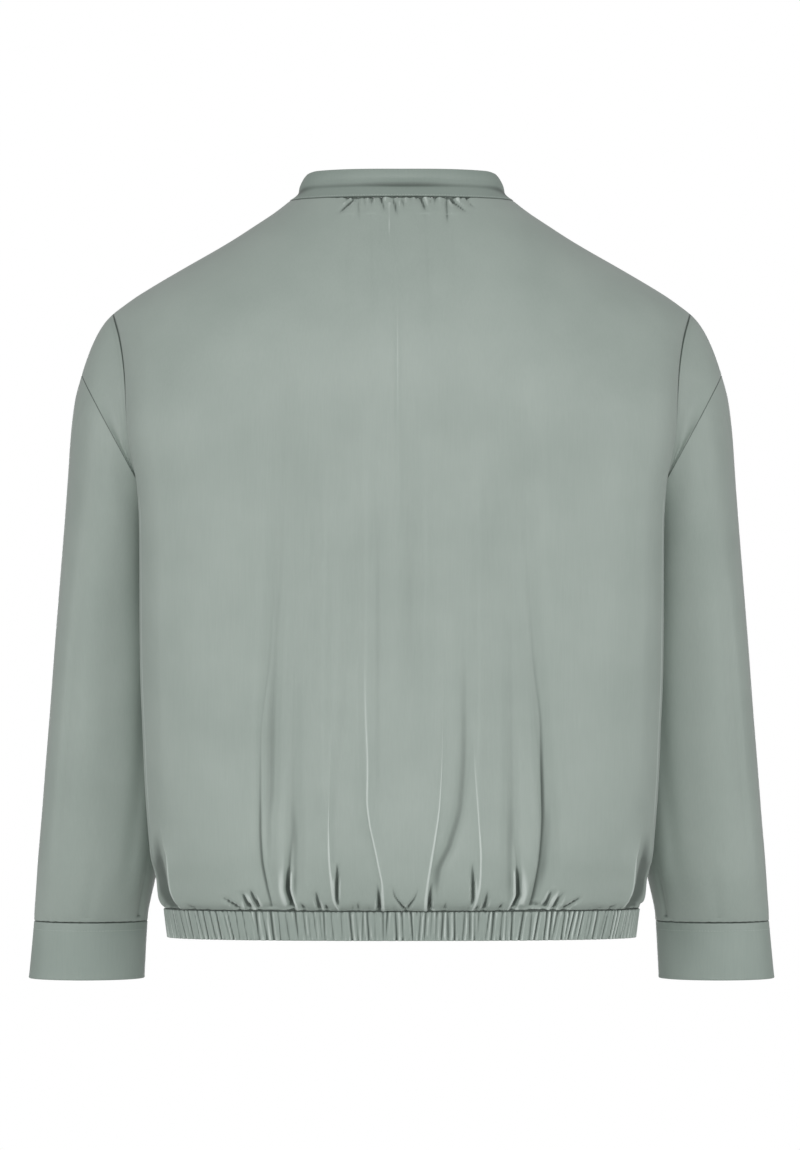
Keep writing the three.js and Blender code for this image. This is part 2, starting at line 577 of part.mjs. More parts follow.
// Stations spaced evenly along the hem, from centre front round by the left side and the back.
function hemStations() {
  const outline = [];
  for (let i = 0; i <= HEM_STEPS; i += 1) {
    const turn = Math.PI * (1 - (2 * i) / HEM_STEPS);
    const cos = Math.cos(turn);
    const sin = Math.sin(turn);
    const y = cos >= 0
      ? torso.edgeY(HEM) + (torso.back(HEM) - torso.edgeY(HEM)) * power(cos, 2 / BACK_SQUARENESS)
      : torso.edgeY(HEM) + (torso.edgeY(HEM) - torso.front(HEM)) * cos;
    const x = cos >= 0 ? Math.sign(sin) * power(Math.abs(sin), 2 / BACK_SQUARENESS) : sin;
    outline.push(new THREE.Vector3(torso.edge(HEM) * x, y, 0));
  }
  const curve = new THREE.CatmullRomCurve3(outline);
  curve.arcLengthDivisions = HEM_STEPS;
  return curve.getSpacedPoints(2 * BAND_RIBS);
}

function hemBandGeometry() {
  const stations = hemStations();
  const sheet = BAND_ROWS.map(({ share }) => stations.map((station, c) => {
    const taper = lerp(BAND_TAPER, 1, share);
    const point = new THREE.Vector3(station.x * taper, station.y * taper, lerp(BAND_BOTTOM, HEM, share));
    if (share === 1) point.z -= SEAM_GAP;
    if (c === 0) point.x = SEAM_GAP / 2;
    if (c === stations.length - 1) point.x = -SEAM_GAP / 2;
    return tilted(point);
  }));
  const edgeNormal = (r, c, normal) =>
    (c === 0 || c === stations.length - 1 ? normal.clone().setX(0).normalize() : normal);
  // Every other station is a rib; the heights differ a little, as shirred cloth does.
  const relief = (r, c) => {
    if (c % 2 === 0) return 0;
    const wavy = RIB_WAVES.map((wave) => wave.share * Math.sin((wave.turn * c) / 2));
    return BAND_ROWS[r].rib * (RIB_MEAN + wavy[0] + wavy[1]);
  };
  return wall(sheet, BAND_CLOTH, { relief, edgeNormal });
}

// ---------- Assembly ----------
const satin = (color) => new THREE.MeshStandardMaterial({ color, roughness: 0.42, metalness: 0 });
const jacket = new THREE.Group();
jacket.name = "blouson_jacket";

function add(name, geometry, color) {
  const mesh = new THREE.Mesh(geometry, satin(color));
  mesh.name = name;
  jacket.add(mesh);
}

add("back", backGeometry(), 0x9ca89f);
add("collar", collarGeometry(), 0x929f99);
add("hem_band", hemBandGeometry(), 0x8c9690);
for (const [name, side] of Object.entries(SIDE)) {
  add(`front_${name}`, frontGeometry(side), 0x98a39b);
  add(`sleeve_${name}`, sleeveGeometry(side), 0x929e98);
  add(`cuff_${name}`, cuffGeometry(side), 0x8c9690);
}

export default jacket;
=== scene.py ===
# %% [markdown]
# # A satin blouson jacket
#
# This lesson dresses the plain solids of a blouson jacket in satin. The jacket is seen mainly from
# behind. It has a stand collar, a back gathered under it, dropped shoulders, long sleeves in plain
# cuffs, and a body that blouses over an elasticated hem band. Nobody is in it: it is hollow.
#
# The frame gives the solids, at their real size, in metres. It faces -Y and its left sleeve is at +X.

# %% Load the frame
import math

import bpy
import numpy as np
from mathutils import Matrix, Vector


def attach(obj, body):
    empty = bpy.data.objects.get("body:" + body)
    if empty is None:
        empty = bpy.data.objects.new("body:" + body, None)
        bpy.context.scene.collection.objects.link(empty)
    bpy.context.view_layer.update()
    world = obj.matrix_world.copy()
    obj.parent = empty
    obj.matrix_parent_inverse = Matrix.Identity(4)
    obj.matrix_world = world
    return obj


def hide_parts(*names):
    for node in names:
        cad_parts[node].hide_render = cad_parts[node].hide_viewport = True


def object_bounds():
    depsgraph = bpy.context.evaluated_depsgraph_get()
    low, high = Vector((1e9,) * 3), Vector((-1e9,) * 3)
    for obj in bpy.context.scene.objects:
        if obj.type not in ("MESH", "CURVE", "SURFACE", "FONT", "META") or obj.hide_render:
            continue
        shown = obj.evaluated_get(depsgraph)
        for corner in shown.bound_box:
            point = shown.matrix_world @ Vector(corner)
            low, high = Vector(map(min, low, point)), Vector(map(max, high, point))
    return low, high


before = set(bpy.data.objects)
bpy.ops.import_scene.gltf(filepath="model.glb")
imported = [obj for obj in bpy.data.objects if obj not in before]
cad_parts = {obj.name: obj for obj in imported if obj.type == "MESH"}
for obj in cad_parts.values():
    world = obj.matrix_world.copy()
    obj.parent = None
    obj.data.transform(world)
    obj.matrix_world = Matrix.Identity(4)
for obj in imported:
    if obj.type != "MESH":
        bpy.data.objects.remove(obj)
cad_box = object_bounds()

MM = 0.001
size = cad_box[1] - cad_box[0]
print("jacket: %.0f mm wide, %.0f mm deep, %.0f mm tall" % tuple(1000 * size))

# %% [markdown]
# ## How the cloth is made
#
# Each panel is a sheet of points in rows and columns. The sheet's form comes from the cut: a few
# tables of sizes say how wide and deep the body is at each height, and curves join their rows.
# Sculpting by hand or simulating a cut pattern would also work, but a sheet of known rows and
# columns can be made finer just where the sharp creases are, and it gives the same cloth each time.
#
# Folds are then raised on the sheet along its own normals, and the sheet gets a second, coarser
# side, so it is a closed thin shell. Tables are in millimetres, as a pattern cutter writes them.

# %% Curves through short tables


def lerp(a, b, t):
    return a + (b - a) * t


def smoothstep(value, low, high):
    t = np.clip((np.asarray(value, float) - low) / (high - low), 0, 1)
    return t * t * (3 - 2 * t)


def through(pairs):
    """A smooth curve through (place, value) pairs, without overshoot between them."""
    place, value = np.array(sorted(pairs), float).T
    width = np.diff(place)
    slope = np.diff(value) / width
    before, after = slope[:-1], slope[1:]
    same_way = before * after > 0
    mean = 2 * before * after / np.where(same_way, before + after, 1)
    tangent = np.concatenate([slope[:1], np.where(same_way, mean, 0), slope[-1:]])

    def at_place(x):
        x = np.clip(np.asarray(x, float), place[0], place[-1])
        i = np.clip(np.searchsorted(place, x, side="right") - 1, 0, len(width) - 1)
        t = (x - place[i]) / width[i]
        return (
            value[i] * (1 + 2 * t) * (1 - t) ** 2
            + tangent[i] * width[i] * t * (1 - t) ** 2
            + value[i + 1] * t**2 * (3 - 2 * t)
            - tangent[i + 1] * width[i] * t**2 * (1 - t)
        )

    return at_place


def curves(names, rows):
    """A curve through each named column of a table, by the place in its first column."""
    return {name: through([(row[0], row[k]) for row in rows]) for k, name in enumerate(names.split(), 1)}


def spaced(*stretches):
    """Places along a line, from stretches of (start, end, step)."""
    places = []
    for start, end, step in stretches:
        count = max(round(abs(end - start) / step), 1)
        places.extend(np.linspace(start, end, count, endpoint=False))
    places.append(stretches[-1][1])
    return np.array(places)


# %% [markdown]
# ## The cut of the body
#
# A drop-shouldered blouson is nearly a box: the back and the fronts are cut wide, without darts,
# and the shoulder seam runs straight on past the shoulder to the sleeve. Filled out, its plan is a
# rounded box, which rounds over into the shoulders. Below the armpit the side turns in to the side
# seam. Above it, the cloth tucks in before the arm and then runs out to the armhole seam.

# %% Sizes of the body
NECK_X, NECK_BACK, NECK_FRONT = 96.5, 62, -92
NECK_RISE, NECK_DROP, NECK_DIP = 1.4, 48, 2.6
TIP_X, TIP_Y, TIP_Z = 248.6, -21, -94
HEAD = np.array([276.5, -25, -147])
ARMPIT_Y, ARMPIT_Z = -25, -281
ARMHOLE_DEPTH = 62
CHEST_CENTRE, CHEST_SIDE = -180, -235
SIDE_SEAM_HEM_Y = -8
HEM, BAND_BOTTOM, BAND_TAPER = -606, -631, 0.985
HEM_TILT, TILT_FROM = 0.035, -400
BACK_SQUARENESS = 2.4
SEAM_GAP = 0.3

# By height: the side edge's x and y, the y of the back and of the front, and, for the front's flatter
# plan, its half width and the x at which it meets the edge.
torso = curves("edge edge_y back front chest front_edge", [
    (-606, 203.6, 4, 112, -110, 203.6, 160),
    (-605, 206, 5, 115, -113, 206, 162),
    (-602, 208, 6, 118, -116, 209, 163),
    (-595, 209.5, 8, 121, -118, 213, 164),
    (-580, 210.5, 11, 123.5, -120, 220, 165),
    (-564, 215, 16, 124, -120, 230, 166),
    (-540, 217, 21, 123, -119, 240, 167),
    (-500, 219.6, 28, 120, -117, 255, 169),
    (-450, 221.4, 33, 117, -117, 270, 171),
    (-400, 223.2, 37, 115, -117, 285, 173),
    (-340, 223.6, 40, 113.5, -117, 305, 176),
    (-281, 223.6, 43, 113, -117, 335, 181),
    (-255, 224.5, 45, 112.5, -117, 355, 190),
    (-237, 226.4, 46, 112, -117, 375, 197),
    (-219, 230.6, 46.5, 112, -117, 395, 206),
    (-200, 234.2, 47, 112, -117, 410, 214),
    (-150, 236.6, 47, 112, -117, 430, 232),
    (-119, 241, 47, 112, -117, 430, 241),
    (-94, 248.6, 47, 112, -117, 430, 248.6),
])

shoulder_z = through([
    (96.5, 1.4), (100, -1.4), (105, -5.5), (112, -10.4), (128, -20.7), (144, -31), (161.5, -41.2),
    (180, -51.4), (198, -61.6), (215.5, -71.7), (232, -82), (248.6, -94)
])

# How the arm panel bends off a straight line, on the back (1) and on the front (-1).
ARM_FOLD = {1: (0.5, -13, 0), -1: (3, -3, 0)}
ARM_PRESS = {1: (-17, -7, 0), -1: (6, -8, 0)}
FRONT_CORNER, CORNER_RISE = (12, -14, 0), 100
PRESS_BELOW = 150
SHOULDER_BEND = (2.2, 0, 14)

# %% The body's surface


def vec(*parts):
    """Points from their x, y and z, each a number or an array."""
    return np.stack(np.broadcast_arrays(*[np.asarray(part, float) for part in parts]), axis=-1)


def unit(v):
    return v / np.maximum(np.linalg.norm(v, axis=-1, keepdims=True), 1e-9)


def neck_seam(x, facing):
    """y and z of the neck seam at a distance from the centre line."""
    share = np.sqrt(np.clip(1 - (x / NECK_X) ** 2, 0, 1))
    if facing > 0:
        return NECK_BACK * share, NECK_RISE + 0 * share
    return NECK_FRONT * share, NECK_RISE - (NECK_DROP + NECK_RISE) * share**NECK_DIP


def column_top(x, facing):
    """y and z where a column of the body ends, at the neck seam or at the shoulder seam."""
    neck_y, neck_z = neck_seam(x, facing)
    under_neck = x <= NECK_X
    y = np.where(under_neck, neck_y, TIP_Y * (x - NECK_X) / (TIP_X - NECK_X))
    return y, np.where(under_neck, neck_z, shoulder_z(x))


def plan_depth(facing, share, z):
    """y of the torso's plan: a rounded box at the back, a flatter curve in front."""
    edge_y = torso["edge_y"](z)
    if facing > 0:
        bow = np.clip(1 - share**BACK_SQUARENESS, 0, 1) ** (1 / BACK_SQUARENESS)
        return edge_y + (torso["back"](z) - edge_y) * bow
    x = share * torso["front_edge"](z)
    bow = np.sqrt(np.clip(1 - (x / torso["chest"](z)) ** 2, 0, 1))
    return edge_y - (edge_y - torso["front"](z)) * bow


def torso_row(facing, share, rise=None, angle=None):
    """One row of the torso from the centre line (share 0) to the side edge (share 1): low down at a
    rise from hem to chest, higher up at an angle over the shoulder, from 90 down to 0."""
    x = share * TIP_X
    top_y, top_z = column_top(x, facing)
    chest = lerp(CHEST_CENTRE, CHEST_SIDE, share**1.5)
    edge = torso["edge"] if facing > 0 else torso["front_edge"]
    if rise is not None:
        z = lerp(HEM, chest, rise)
        return vec(share * edge(z), plan_depth(facing, share, z), z)
    under_neck = x < NECK_X
    stop = np.where(under_neck, np.arcsin(np.clip(top_y / plan_depth(facing, share, chest), 0, 1)), 0)
    crest = chest + (top_z - chest) / np.cos(stop)
    crest_y = np.where(under_neck, 0, top_y)
    turn = math.radians(angle) + stop * (1 - angle / 90) ** 1.5
    z = lerp(chest, crest, np.cos(turn))
    return vec(share * edge(z), lerp(crest_y, plan_depth(facing, share, z), np.sin(turn)), z)


def side_seam(z):
    y = lerp(SIDE_SEAM_HEM_Y, ARMPIT_Y, (z - HEM) / (ARMPIT_Z - HEM))
    reach = (torso["edge_y"](z) - y) / (torso["edge_y"](z) - torso["front"](z))
    return vec(torso["edge"](z) * np.sqrt(1 - reach**2), y, z)


armpit = side_seam(ARMPIT_Z)
armhole_centre = (armpit + HEAD) / 2
armhole_axis = HEAD - armhole_centre


def armhole_turn(edge_z):
    """Angle round the armhole, 0 at its top, for a body row that meets the side edge here."""
    share = np.clip((edge_z - ARMPIT_Z) / (TIP_Z - ARMPIT_Z), 0, 1)
    seam_z = edge_z - (TIP_Z - HEAD[2]) * share**2
    return np.arccos(np.clip((seam_z - armhole_centre[2]) / armhole_axis[2], -1, 1))


def armhole_point(turn, facing):
    depth = facing * ARMHOLE_DEPTH * np.sin(turn)
    return armhole_centre + armhole_axis * np.cos(turn)[..., None] + vec(0, depth, 0)


def plan_corner(z, start, end):
    """Where the tangents of the plan's ellipse at two of its points cross."""
    centre = np.array([0, torso["edge_y"](z), 0])
    radii = np.array([torso["edge"](z), torso["edge_y"](z) - torso["front"](z), 1])
    a = (start - centre) * (1, 1, 0) / radii
    b = (end - centre) * (1, 1, 0) / radii
    corner = (a + b) / (1 + a @ b) * radii + centre
    corner[2] = (start[2] + end[2]) / 2
    return corner


def arm_row(facing, arm, rise=None, angle=None):
    """The row's points beyond the side edge: down to the side seam, or out to the armhole seam."""
    edge = torso_row(facing, np.array([1.0]), rise, angle)[0]
    on_side = edge[2] <= ARMPIT_Z + 0.01
    if on_side:
        seam = side_seam(edge[2])
    else:
        seam = armhole_point(np.array([armhole_turn(edge[2])]), facing)[0]
    middle = (edge + seam) / 2
    press, fold = np.array(ARM_PRESS[facing], float), np.array(ARM_FOLD[facing], float)
    bend = plan_corner(edge[2], edge, seam) - middle if on_side else press
    if facing < 0:
        bend = lerp(bend, np.array(FRONT_CORNER, float), smoothstep(edge[2], HEM, HEM + CORNER_RISE))
    bend = lerp(bend, press, smoothstep(edge[2], ARMPIT_Z - PRESS_BELOW, ARMPIT_Z))
    bend = lerp(bend, fold, smoothstep(edge[2], ARMPIT_Z, CHEST_SIDE))
    over = 1 if angle is None else math.sin(math.radians(angle)) ** 2
    pull = middle + bend * over + np.array(SHOULDER_BEND) * (1 - over)
    t = arm[:, None]
    return edge * (1 - t) ** 2 + pull * 2 * t * (1 - t) + seam * t**2


# %% [markdown]
# ## Rows and columns
#
# A pressed crease is half a millimetre wide at its crest, and a grid that fine all over would be
# far too heavy. So the columns are half a millimetre apart only beside a few guide lines, and the
# guide lines are bent to run along the creases. Averaging each point with its neighbours a few
# times takes out what unevenness the tables leave. The seams and the fold before the arm are held,
# because those are meant to be sharp.

# %% Sheets of the body
CREASES = [
    # The five creases of each half as (across, up): the columns follow them.
    [(15.6, -606), (16.1, -582), (19.1, -565), (22.8, -547), (27, -527), (28.9, -508), (28.5, -483),
     (30, -440), (31.5, -390)],
    [(50, -606), (56.2, -592), (58.6, -577), (60.4, -557), (61, -532), (60, -490), (58, -440)],
    [(89, -606), (93.6, -594), (96.2, -583), (96, -574), (94.8, -562), (93, -530), (92, -480)],
    [(109, -606), (110.4, -597), (114, -582), (118.3, -557), (119.5, -532), (119, -458),
     (112, -390), (106, -300)],
    [(184, -606), (187.5, -601), (191.5, -594), (194, -584), (195.4, -571), (197.2, -559),
     (201, -548), (206, -530)],
]
OTHER_CREASES = [
    # The same five on the right half, which fell a little differently. Across is mirrored.
    [(20, -606), (20.6, -590), (24, -565), (28, -540), (31.5, -515), (33.6, -480), (34.6, -440),
     (35.6, -390)],
    [(56, -606), (62, -594), (65.4, -578), (66, -557), (64.4, -527), (61, -480), (59, -440)],
    [(90, -606), (95.4, -596), (98, -588), (97.8, -575), (97, -562), (95, -530), (93, -480)],
    [(107, -606), (109.6, -597), (113.4, -580), (117.6, -552), (119.4, -520), (118, -450),
     (111, -385), (106, -300)],
    [(183, -606), (186.8, -601), (191, -594), (193.6, -584), (195, -571), (197, -559),
     (200.6, -548), (206, -530)],
]
GUIDES = [24, 67, 112, 134, 227]
CREASE_FADE = 240


def crease_columns():
    """Columns half a millimetre apart beside each guide, and wider ones between."""
    places = [0, *GUIDES, TIP_X]
    stretches = []
    for before, after, step in zip(places, places[1:], (1.8, 1.7, 1.7, 1.7, 2.8, 3)):
        start = before if before == 0 else before + 3
        end = after if after == TIP_X else after - 3
        if end == TIP_X:
            stretches += [(start, 236, step), (236, 246, 1.6), (246, TIP_X, 0.5)]
            continue
        stretches.append((start, end, step))
        stretches += [(end, after - 1.2, 0.7), (after - 1.2, after + 1.2, 0.45)]
        stretches.append((after + 1.2, after + 3, 0.7))
    return spaced(*stretches)


BACK_COLUMNS = crease_columns()
FRONT_COLUMNS = spaced((0, 60, 3), (60, 130, 2.4), (130, 236, 3.2), (236, 246, 1.6), (246, 248.6, 0.6))
ARM_COLUMNS = spaced((0, 0.04, 0.006), (0.04, 0.12, 0.014), (0.12, 1, 0.036))[1:]
RISES = spaced((0, 9, 1.1), (9, 60, 1.8), (60, 150, 3), (150, 426, 4.6)) / 426
ANGLES = spaced((90, 16, 1.7), (16, 0, 0.75))[1:]


def relaxed(sheet, times, holds=(), closed=False):
    """The sheet with each point averaged with its neighbours. Its edges and held columns stay."""
    sheet = sheet.copy()
    free = slice(None) if closed else slice(1, -1)
    for _ in range(times):
        across = (np.roll(sheet, 1, axis=1) + 2 * sheet + np.roll(sheet, -1, axis=1)) / 4
        for column in holds:
            across[:, column] = sheet[:, column]
        sheet[1:-1, free] = across[1:-1, free]
        up = (sheet[:-2] + 2 * sheet[1:-1] + sheet[2:]) / 4
        sheet[1:-1, free] = up[:, free]
    return sheet


def half_body(facing, columns):
    """Half a body panel, from the centre line out to the seam at the arm, as rows of points."""
    share = columns / TIP_X
    places = [{"rise": rise} for rise in RISES] + [{"angle": angle} for angle in ANGLES]
    return np.array([
        np.vstack([torso_row(facing, share, **place), arm_row(facing, ARM_COLUMNS, **place)])
        for place in places
    ])


def line_at(line):
    """How far across a line of (across, up) points lies, by height."""
    return through([(point[1], point[0]) for point in line])


def follow_creases(half, creases):
    """Slide the half's points along its rows, so that its guide columns run on the creases."""
    bent = half.copy()
    for row, points in enumerate(half[:, : len(BACK_COLUMNS)]):
        across = points[:, 0]
        at, level = (np.interp(GUIDES, BACK_COLUMNS, points[:, axis]) for axis in (0, 2))
        shift = [0.0]
        for line, x, z in zip(creases, at, level):
            fade = 1 - smoothstep(z, line[-1][1], line[-1][1] + CREASE_FADE)
            shift.append((line_at(line)(z) - x) * fade)
        moved = across + np.interp(BACK_COLUMNS, [0, *GUIDES, TIP_X], shift + [0.0])
        for axis in range(3):
            bent[row, : len(across), axis] = np.interp(moved, across, points[:, axis])
    return bent


def back_sheet():
    """The back's two halves, each bent to its own creases, joined at the centre line."""
    half = relaxed(half_body(1, BACK_COLUMNS), times=10, holds=(len(BACK_COLUMNS) - 1,))
    left = follow_creases(half, CREASES)
    right = follow_creases(half, OTHER_CREASES) * (-1, 1, 1)
    sheet = np.concatenate([left[:, ::-1], right[:, 1:]], axis=1)
    edge = len(ARM_COLUMNS)
    return relaxed(sheet, times=6, holds=(edge, sheet.shape[1] - 1 - edge))


def front_sheet(side):
    """One front, half a seam's gap from the centre line."""
    half = half_body(-1, FRONT_COLUMNS)
    half[:, 0, 0] = SEAM_GAP / 2
    half = relaxed(half, times=14)
    return half if side > 0 else half[:, ::-1] * (-1, 1, 1)


back_form = back_sheet()
print("back sheet: %d rows, %d columns" % back_form.shape[:2])

# %% [markdown]
# ## Folds
#
# A fold here is a line on the cloth with a height at each of its points: below zero it is a
# trough, above zero a ridge. Across the line it falls away on each side over its own width, so one
# side can be steeper, as on cloth that leans over. Sharp folds come to a point, like a pressed
# crease. The lines are given one by one. They start in the gathers of the seams and die out in the
# cloth, and no two are alike.

# %% Raising folds
# SHARP marks a pressed crease. CREST rounds its top a little.
SHARP, CREST = True, 0.01


def grid_normals(sheet, closed):
    """The outward direction at each point of a sheet."""
    if closed:
        along = np.roll(sheet, -1, axis=1) - np.roll(sheet, 1, axis=1)
    else:
        along = np.gradient(sheet, axis=1)
    return unit(np.cross(along, np.gradient(sheet, axis=0)))


def bell(off):
    return np.exp(-(off**2))


def fold_heights(across, up, folds):
    """The summed height of all folds at each point of the cloth. A fold is its points (across, up,
    height) from its low end up, its widths towards lower and higher numbers across, and SHARP."""
    total = np.zeros(across.shape)
    for points, left, right, *sharp in folds:
        height = through([point[1:] for point in points])(up)
        height = np.where((up < points[0][1]) | (up > points[-1][1]), 0, height)
        offset = across - line_at(points)(up)
        off = offset / np.where(offset > 0, right, left)
        pressed = np.exp(math.sqrt(CREST) - np.sqrt(off**2 + CREST))
        total += height * (pressed if any(sharp) else bell(off))
    return total


# %% [markdown]
# ## From sheet to shell
#
# Satin is thin, but a sheet with only one side looks like paper at the neck, hem and cuffs. So each
# sheet gets an inner side a millimetre or so behind it. Nobody sees that side closely, so it has a
# third of the rows and columns, and it lies behind the deepest point near it. Where a piece ends,
# its outer side rolls in, as a turned edge does, and at a seam two such edges make the fine dark
# ditch that shows where two pieces are sewn together.
# Painted shade darkens the cloth along each seam as well.

# %% Shell builder
# The inner side keeps every third line. Extra lines lie at these shares of an edge's roll.
COARSE, EDGE_LINES = 3, (0.12, 0.4, 1.0)


def add_edge_lines(sheet, radius, closed):
    """More rows and columns close to the sheet's edges, where it rolls in."""
    steps = radius * np.array(EDGE_LINES)

    def add_rows(grid):
        low = [grid[0] + unit(grid[1] - grid[0]) * step for step in steps]
        high = [grid[-1] + unit(grid[-2] - grid[-1]) * step for step in steps[::-1]]
        return np.concatenate([grid[:1], low, grid[1:-1], high, grid[-1:]])

    sheet = add_rows(sheet)
    if not closed:
        sheet = add_rows(sheet.transpose(1, 0, 2)).transpose(1, 0, 2)
    return sheet


def lengths(lines):
    """Length along a line of points, or along each row of a sheet, up to each point."""
    steps = np.linalg.norm(np.diff(lines, axis=-2), axis=-1)
    return np.concatenate([np.zeros(steps.shape[:-1] + (1,)), np.cumsum(steps, axis=-1)], axis=-1)


def from_edges(sheet, closed):
    """Each point's distance along the cloth from the sheet's low, high, first and last edges."""
    from_low, from_first = lengths(sheet.transpose(1, 0, 2)).T, lengths(sheet)
    distances = {"low": from_low, "high": from_low[-1] - from_low}
    if not closed:
        distances.update(first=from_first, last=from_first[:, -1:] - from_first)
    return distances


def edge_roll(edges, radius):
    """How far the outer side drops near each edge, as a quarter round."""
    inside = np.clip(radius - np.min(list(edges.values()), axis=0), 0, radius)
    return radius - np.sqrt(radius**2 - inside**2)


def lowest_near(values, closed, reach=4):
    """The lowest value within a few rows and columns of each point."""
    for way, mode in ((0, "edge"), (1, "wrap" if closed else "edge")):
        wide = np.pad(values, [(reach, reach) if axis == way else (0, 0) for axis in (0, 1)], mode=mode)
        values = np.lib.stride_tricks.sliding_window_view(wide, 2 * reach + 1, axis=way).min(axis=-1)
    return values


def blurred(values, sheet, spread, step=0.5):
    """Values averaged over a length of cloth, along the rows of the sheet."""
    weights = np.exp(-0.5 * (np.arange(-3 * spread, 3 * spread + step, step) / spread) ** 2)
    smooth = np.empty(values.shape)
    for row, along in enumerate(lengths(sheet)):
        even = np.arange(0, along[-1] + step, step)
        padded = np.pad(np.interp(even, along, values[row]), len(weights) // 2, mode="reflect")
        mean = np.convolve(padded, weights / weights.sum(), mode="valid")[: len(even)]
        smooth[row] = np.interp(along, even, mean)
    return smooth


def relief(heights, sheet):
    """How far each point stands above (or, below zero, lies under) the cloth close to it: mostly
    within 2 mm of it, and a little within 7 mm."""

    def above(spread):
        mean = blurred(heights, sheet, spread)
        return heights - blurred(mean.T, sheet.transpose(1, 0, 2), spread).T

    return above(1.7) + 0.1 * above(7)


def picked(count, closed):
    """Every third line of a grid, and its last one. A closed grid ends at its first line again."""
    lines = list(range(0, count, COARSE))
    if closed or lines[-1] != count - 1:
        lines.append(count if closed else count - 1)
    return lines


def numbered(rows, columns, closed, start=0):
    """The numbers of a grid's points. A closed grid repeats its first column at the end."""
    grid = start + np.arange(rows * columns).reshape(rows, columns)
    return np.hstack([grid, grid[:, :1]]) if closed else grid


def quads(grid, turned):
    """The faces between a grid's rows and columns."""
    corners = [grid[:-1, :-1], grid[:-1, 1:], grid[1:, 1:], grid[1:, :-1]]
    if turned:
        corners[1], corners[3] = corners[3], corners[1]
    return np.stack(corners, axis=-1).reshape(-1, 4).tolist()


def rim(fine, coarse, stops, turned):
    """Faces that join an edge of the outer side to the same edge of the inner side."""
    fine, coarse = fine.tolist(), coarse.tolist()
    faces = []
    for k, (start, stop) in enumerate(zip(stops, stops[1:])):
        face = fine[start : stop + 1] + [coarse[k + 1], coarse[k]]
        faces.append(face[::-1] if turned else face)
    return faces


def placed(name, data):
    """A new object in the scene."""
    thing = bpy.data.objects.new(name, data)
    bpy.context.scene.collection.objects.link(thing)
    return thing


# How far the painted shade at a seam reaches, and the thickness of plain, interfaced and shirred satin.
SEAM_REACH = 0.8
THIN, FACED, SHIRRED = 0.9, 1.8, 1.6
SIDES = (1, "left"), (-1, "right")


def shell(name, form, lift, thickness, seams, roll, closed=False, shade=None):
    """A closed thin shell on a sheet of points. lift(form, normals) gives the height of its folds.
    seams gives the painted shade at each sewn edge, and shade(form, normals) adds painted shade
    or a painted highlight to the relief."""
    form = add_edge_lines(form, roll, closed)
    normals = grid_normals(form, closed)
    heights = lift(form, normals)
    edges = from_edges(form, closed)
    drop = edge_roll(edges, roll)
    outer = form + normals * (heights - drop)[..., None]
    behind = lowest_near(np.minimum(heights, 0), closed) - thickness
    rows, columns = form.shape[:2]
    row_stops, column_stops = picked(rows, False), picked(columns, closed)
    lines = column_stops[:-1] if closed else column_stops
    inner = (form + normals * behind[..., None])[np.ix_(row_stops, lines)]
    # Painted shade and highlight from the relief, and painted shade along each sewn edge.
    stands = relief(heights - drop, form)
    for edge, dark in seams.items():
        stands -= dark * bell(edges[edge] / SEAM_REACH)
    if shade:
        stands += shade(form, normals)
    outside = numbered(rows, columns, closed)
    inside = numbered(*inner.shape[:2], closed, rows * columns)
    faces = quads(outside, False) + quads(inside, True)
    faces += rim(outside[0], inside[0], column_stops, True)
    faces += rim(outside[-1], inside[-1], column_stops, False)
    if not closed:
        faces += rim(outside[:, 0], inside[:, 0], row_stops, False)
        faces += rim(outside[:, -1], inside[:, -1], row_stops, True)
    points = np.concatenate([outer.reshape(-1, 3), inner.reshape(-1, 3)])
    mesh = bpy.data.meshes.new(name)
    mesh.from_pydata((points * MM).tolist(), [], faces)
    mesh.update()
    mesh.shade_smooth()
    values = mesh.attributes.new("relief", "FLOAT", "POINT")
    inner_side = np.zeros(len(points) - stands.size)
    values.data.foreach_set("value", np.concatenate([stands.ravel(), inner_side]))
    return placed(name, mesh), outer


# %% [markdown]
# ## Satin
#
# Satin is a weave whose long floats of smooth filament yarn lie side by side on the face. They
# reflect as one surface, so the cloth has broad soft highlights and keeps its colour in them. A
# plain glossy material would look like plastic, and a sheen alone like velvet. So the material is a
# fairly smooth surface with a small sheen for the light that grazes the yarn, and the fine bump of
# the floats runs down the panel. Its dye is a greyed sage green, a little uneven over the cloth.
# The relief also paints shade into the hollows of the cloth and a highlight onto its crests.

# %% Colours and the satin material


def linear(hex_colour):
    """An sRGB hex colour as linear numbers."""
    channels = [int(hex_colour[i : i + 2], 16) / 255 for i in (0, 2, 4)]
    return [c / 12.92 if c <= 0.04045 else ((c + 0.055) / 1.055) ** 2.4 for c in channels] + [1]


def add_node(tree, kind, inputs=None, **settings):
    """A node with its settings, and its inputs set to values or linked to sockets."""
    node = tree.nodes.new(kind)
    for key, value in settings.items():
        setattr(node, key, value)
    for key, value in (inputs or {}).items():
        if isinstance(value, bpy.types.NodeSocket):
            tree.links.new(value, node.inputs[key])
        else:
            node.inputs[key].default_value = value
    return node


def cleared(data):
    """The emptied node tree of a material or a world."""
    data.use_nodes = True
    data.node_tree.nodes.clear()
    return data.node_tree


def maths(tree, operation, *values):
    return add_node(tree, "ShaderNodeMath", dict(enumerate(values)), operation=operation).outputs[0]


def noise(tree, place, scale, detail):
    given = {"Vector": place, "Scale": scale, "Detail": detail}
    return add_node(tree, "ShaderNodeTexNoise", given).outputs["Fac"]


def remap(tree, value, start, end, to_start, to_end, kind="SMOOTHSTEP"):
    ranges = {"Value": value, "From Min": start, "From Max": end, "To Min": to_start, "To Max": to_end}
    return add_node(tree, "ShaderNodeMapRange", ranges, interpolation_type=kind).outputs["Result"]


def mixed(tree, share, a, b):
    given = {"Factor": share, "A": a, "B": b}
    return add_node(tree, "ShaderNodeMix", given, data_type="RGBA").outputs["Result"]
